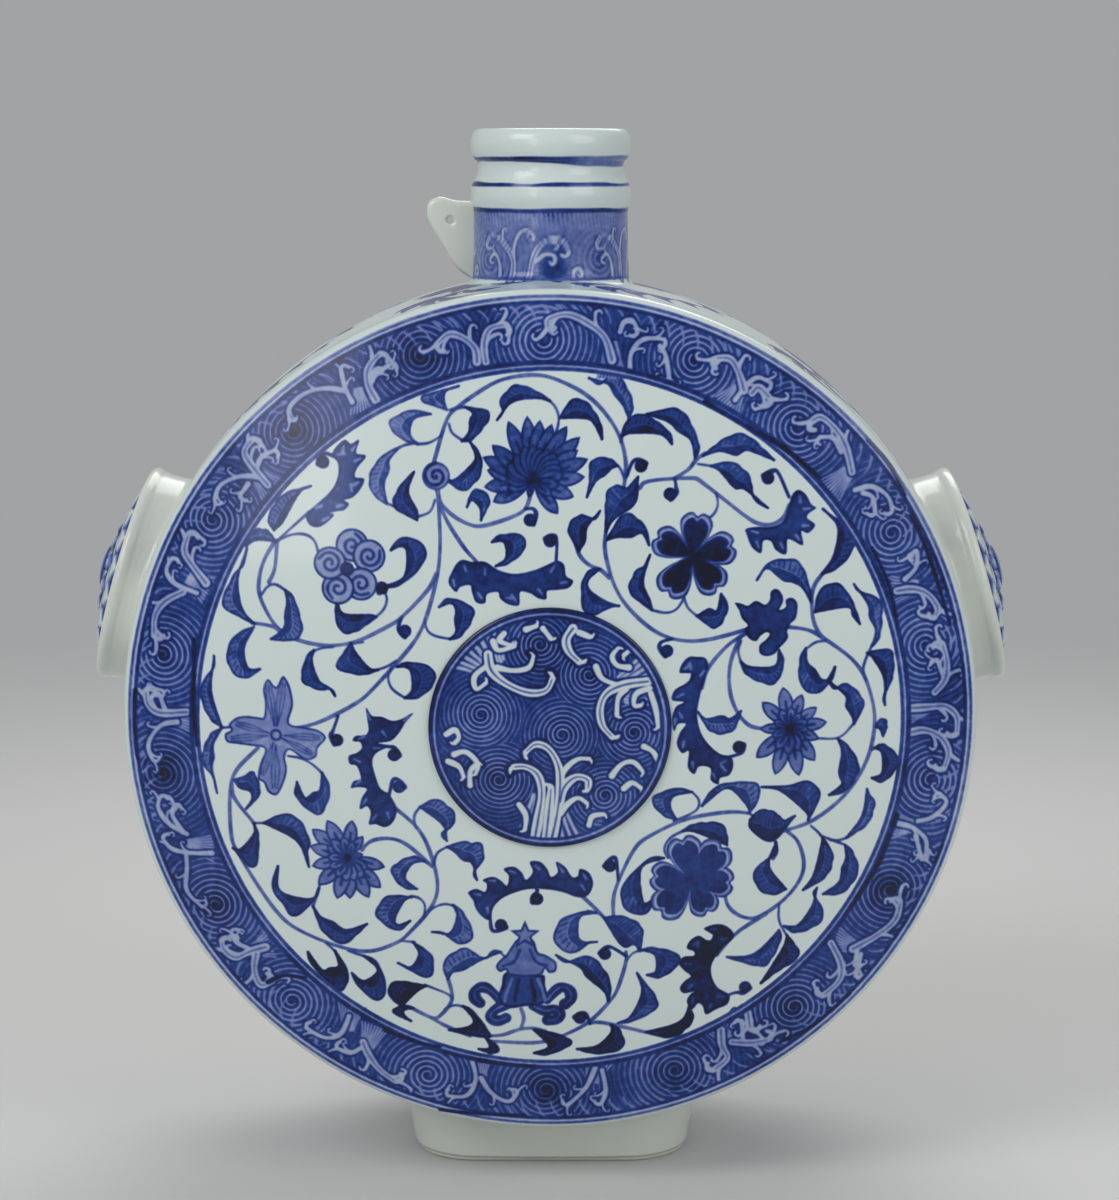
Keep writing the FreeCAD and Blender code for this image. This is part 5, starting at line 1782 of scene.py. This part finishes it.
class FLASK_OT_inside(bpy.types.Operator):
    """Build the inner wall that shows through the mouth"""

    bl_idname = "flask.inside"
    bl_label = "Inner wall"

    def execute(self, context):
        size = scene_sizes()
        body = Body(size)
        front = np.linspace(0.2, body.edge_radius - INNER_WALL - INNER_CORNER_WIDTH, INNER_ROWS)
        back = size.back_depth - INNER_WALL
        start = body.dome_depth(front[-1]) + INNER_WALL + INNER_CORNER_DEPTH
        depth = np.linspace(start, back - INNER_CORNER_DEPTH, INNER_ROWS)
        profile = np.vstack([
            np.column_stack([front, body.dome_depth(front) + INNER_WALL]),
            np.column_stack([body.side_radius(depth) - INNER_WALL, depth]),
            np.column_stack([front[::-1], np.full(len(front), back)]),
        ])
        biscuit = shared_material("recess_biscuit", context.scene.flask_colours.biscuit, biscuit_material)
        points = turned(profile, full_turn(INNER_COLUMNS))
        surface_piece("inner_wall", points, BARE, biscuit, [], closed=True,
                      keep=outside_mouth(size.mouth_radius), poles=(0, len(profile) - 1))
        return {"FINISHED"}


# The world's colour and strength, and half the floor's width in metres
WORLD_COLOUR = (0.80, 0.81, 0.82, 1.0)
WORLD_STRENGTH = 0.45
FLOOR_HALF_WIDTH = 6.0
# The lamps' aim, and each lamp's name, place, width, height and power, in metres and watts
LAMP_AIM = np.array([0.0, 0.0, 0.24])
LAMPS = (
    ("key", (-1.5, -1.5, 1.9), 1.3, 1.3, 26.0), ("fill", (1.7, -1.5, 1.3), 1.4, 1.4, 15.0),
    ("rim", (0.3, 1.5, 1.9), 1.4, 1.4, 20.0), ("sheen", (-0.78, -1.75, 0.80), 0.34, 0.9, 3.0),
)


class FLASK_OT_stage(bpy.types.Operator):
    """Set the pale floor, the soft studio lights and the camera"""

    bl_idname = "flask.stage"
    bl_label = "Stage"

    def execute(self, context):
        self.add_floor()
        self.add_lights()
        self.add_camera(context)
        context.scene.view_settings.view_transform = "Standard"
        return {"FINISHED"}

    def add_floor(self):
        """A wide pale plane at the flask's foot, which melts into the world's own colour far from the
        flask."""
        mesh = bpy.data.meshes.new("floor")
        corners = FLOOR_HALF_WIDTH * np.array([(-1, -1, 0), (1, -1, 0), (1, 1, 0), (-1, 1, 0)])
        mesh.from_pydata(corners.tolist(), [], [(0, 1, 2, 3)])
        looks = {"Base Color": (0.62, 0.62, 0.61, 1.0), "Roughness": 0.7}
        material, nodes, links, shader = new_material("pale_floor", looks)
        far = set_inputs(nodes.new("ShaderNodeEmission"),
                         {"Color": WORLD_COLOUR, "Strength": WORLD_STRENGTH})
        away = nodes.new("ShaderNodeVectorMath")
        away.operation = "LENGTH"
        links.new(nodes.new("ShaderNodeTexCoord").outputs["Object"], away.inputs[0])
        share = set_inputs(nodes.new("ShaderNodeMapRange"), {"From Min": 0.4, "From Max": 1.6})
        share.interpolation_type = "SMOOTHSTEP"
        blend = nodes.new("ShaderNodeMixShader")
        links.new(away.outputs["Value"], share.inputs["Value"])
        links.new(share.outputs["Result"], blend.inputs["Fac"])
        links.new(shader.outputs["BSDF"], blend.inputs[1])
        links.new(far.outputs["Emission"], blend.inputs[2])
        links.new(blend.outputs["Shader"], nodes["Material Output"].inputs["Surface"])
        mesh.materials.append(material)
        floor = bpy.data.objects.new("floor", mesh)
        bpy.context.scene.collection.objects.link(floor)

    def add_lights(self):
        """Three large soft lamps round the flask, a small tall one for the sheen on its front, and a dim
        pale world."""
        for name, place, width, height, power in LAMPS:
            data = bpy.data.lights.new(name, "AREA")
            data.shape = "RECTANGLE"
            data.size = width
            data.size_y = height
            data.energy = power
            lamp = bpy.data.objects.new(name, data)
            lamp.location = place
            lamp.rotation_mode = "QUATERNION"
            lamp.rotation_quaternion = aim_along(LAMP_AIM - np.array(place))
            bpy.context.scene.collection.objects.link(lamp)
        world = bpy.data.worlds.new("studio")
        world.use_nodes = True
        set_inputs(world.node_tree.nodes["Background"], {"Color": WORLD_COLOUR, "Strength": WORLD_STRENGTH})
        bpy.context.scene.world = world

    def add_camera(self, context):
        """The photograph's camera: its focal length in pixels, over the frame's long side, times the
        sensor's width."""
        data = bpy.data.cameras.new("camera")
        data.sensor_width = SENSOR_WIDTH
        data.lens = PHOTO_FOCAL * SENSOR_WIDTH / PHOTO_HEIGHT
        camera = bpy.data.objects.new("camera", data)
        camera.location = np.array([CAMERA_SIDE, -CAMERA_AWAY, CAMERA_HEIGHT]) * MM
        camera.rotation_mode = "QUATERNION"
        camera.rotation_quaternion = aim_along(camera_axes()[0])
        context.scene.collection.objects.link(camera)
        context.scene.camera = camera


def aim_along(direction):
    """The turn that points a lamp or camera along a direction with its top upwards."""
    return Vector(direction).to_track_quat("-Z", "Y")


class FLASK_PT_panel(bpy.types.Panel):
    """Lists the flask's sizes, colours and pieces"""

    bl_idname = "FLASK_PT_panel"
    bl_label = "Flask"
    bl_space_type = "VIEW_3D"
    bl_region_type = "UI"
    bl_category = "Flask"

    def draw(self, context):
        for group in (context.scene.flask_sizes, context.scene.flask_colours):
            for name in group.__annotations__:
                self.layout.prop(group, name)
        for operator in OPERATORS:
            self.layout.operator(operator.bl_idname)


OPERATORS = (
    FLASK_OT_front, FLASK_OT_medallion, FLASK_OT_side, FLASK_OT_back, FLASK_OT_neck, FLASK_OT_tab,
    FLASK_OT_lugs, FLASK_OT_rosettes, FLASK_OT_foot, FLASK_OT_inside, FLASK_OT_stage,
)
CLASSES = (FlaskSizes, FlaskColours) + OPERATORS + (FLASK_PT_panel,)


def register():
    for cls in CLASSES:
        bpy.utils.register_class(cls)
    bpy.types.Scene.flask_sizes = bpy.props.PointerProperty(type=FlaskSizes)
    bpy.types.Scene.flask_colours = bpy.props.PointerProperty(type=FlaskColours)


def unregister():
    del bpy.types.Scene.flask_colours
    del bpy.types.Scene.flask_sizes
    for cls in reversed(CLASSES):
        bpy.utils.unregister_class(cls)


def main():
    register()
    for operator in OPERATORS:
        group, name = operator.bl_idname.split(".")
        getattr(getattr(bpy.ops, group), name)()


if __name__ == "__main__":
    main()
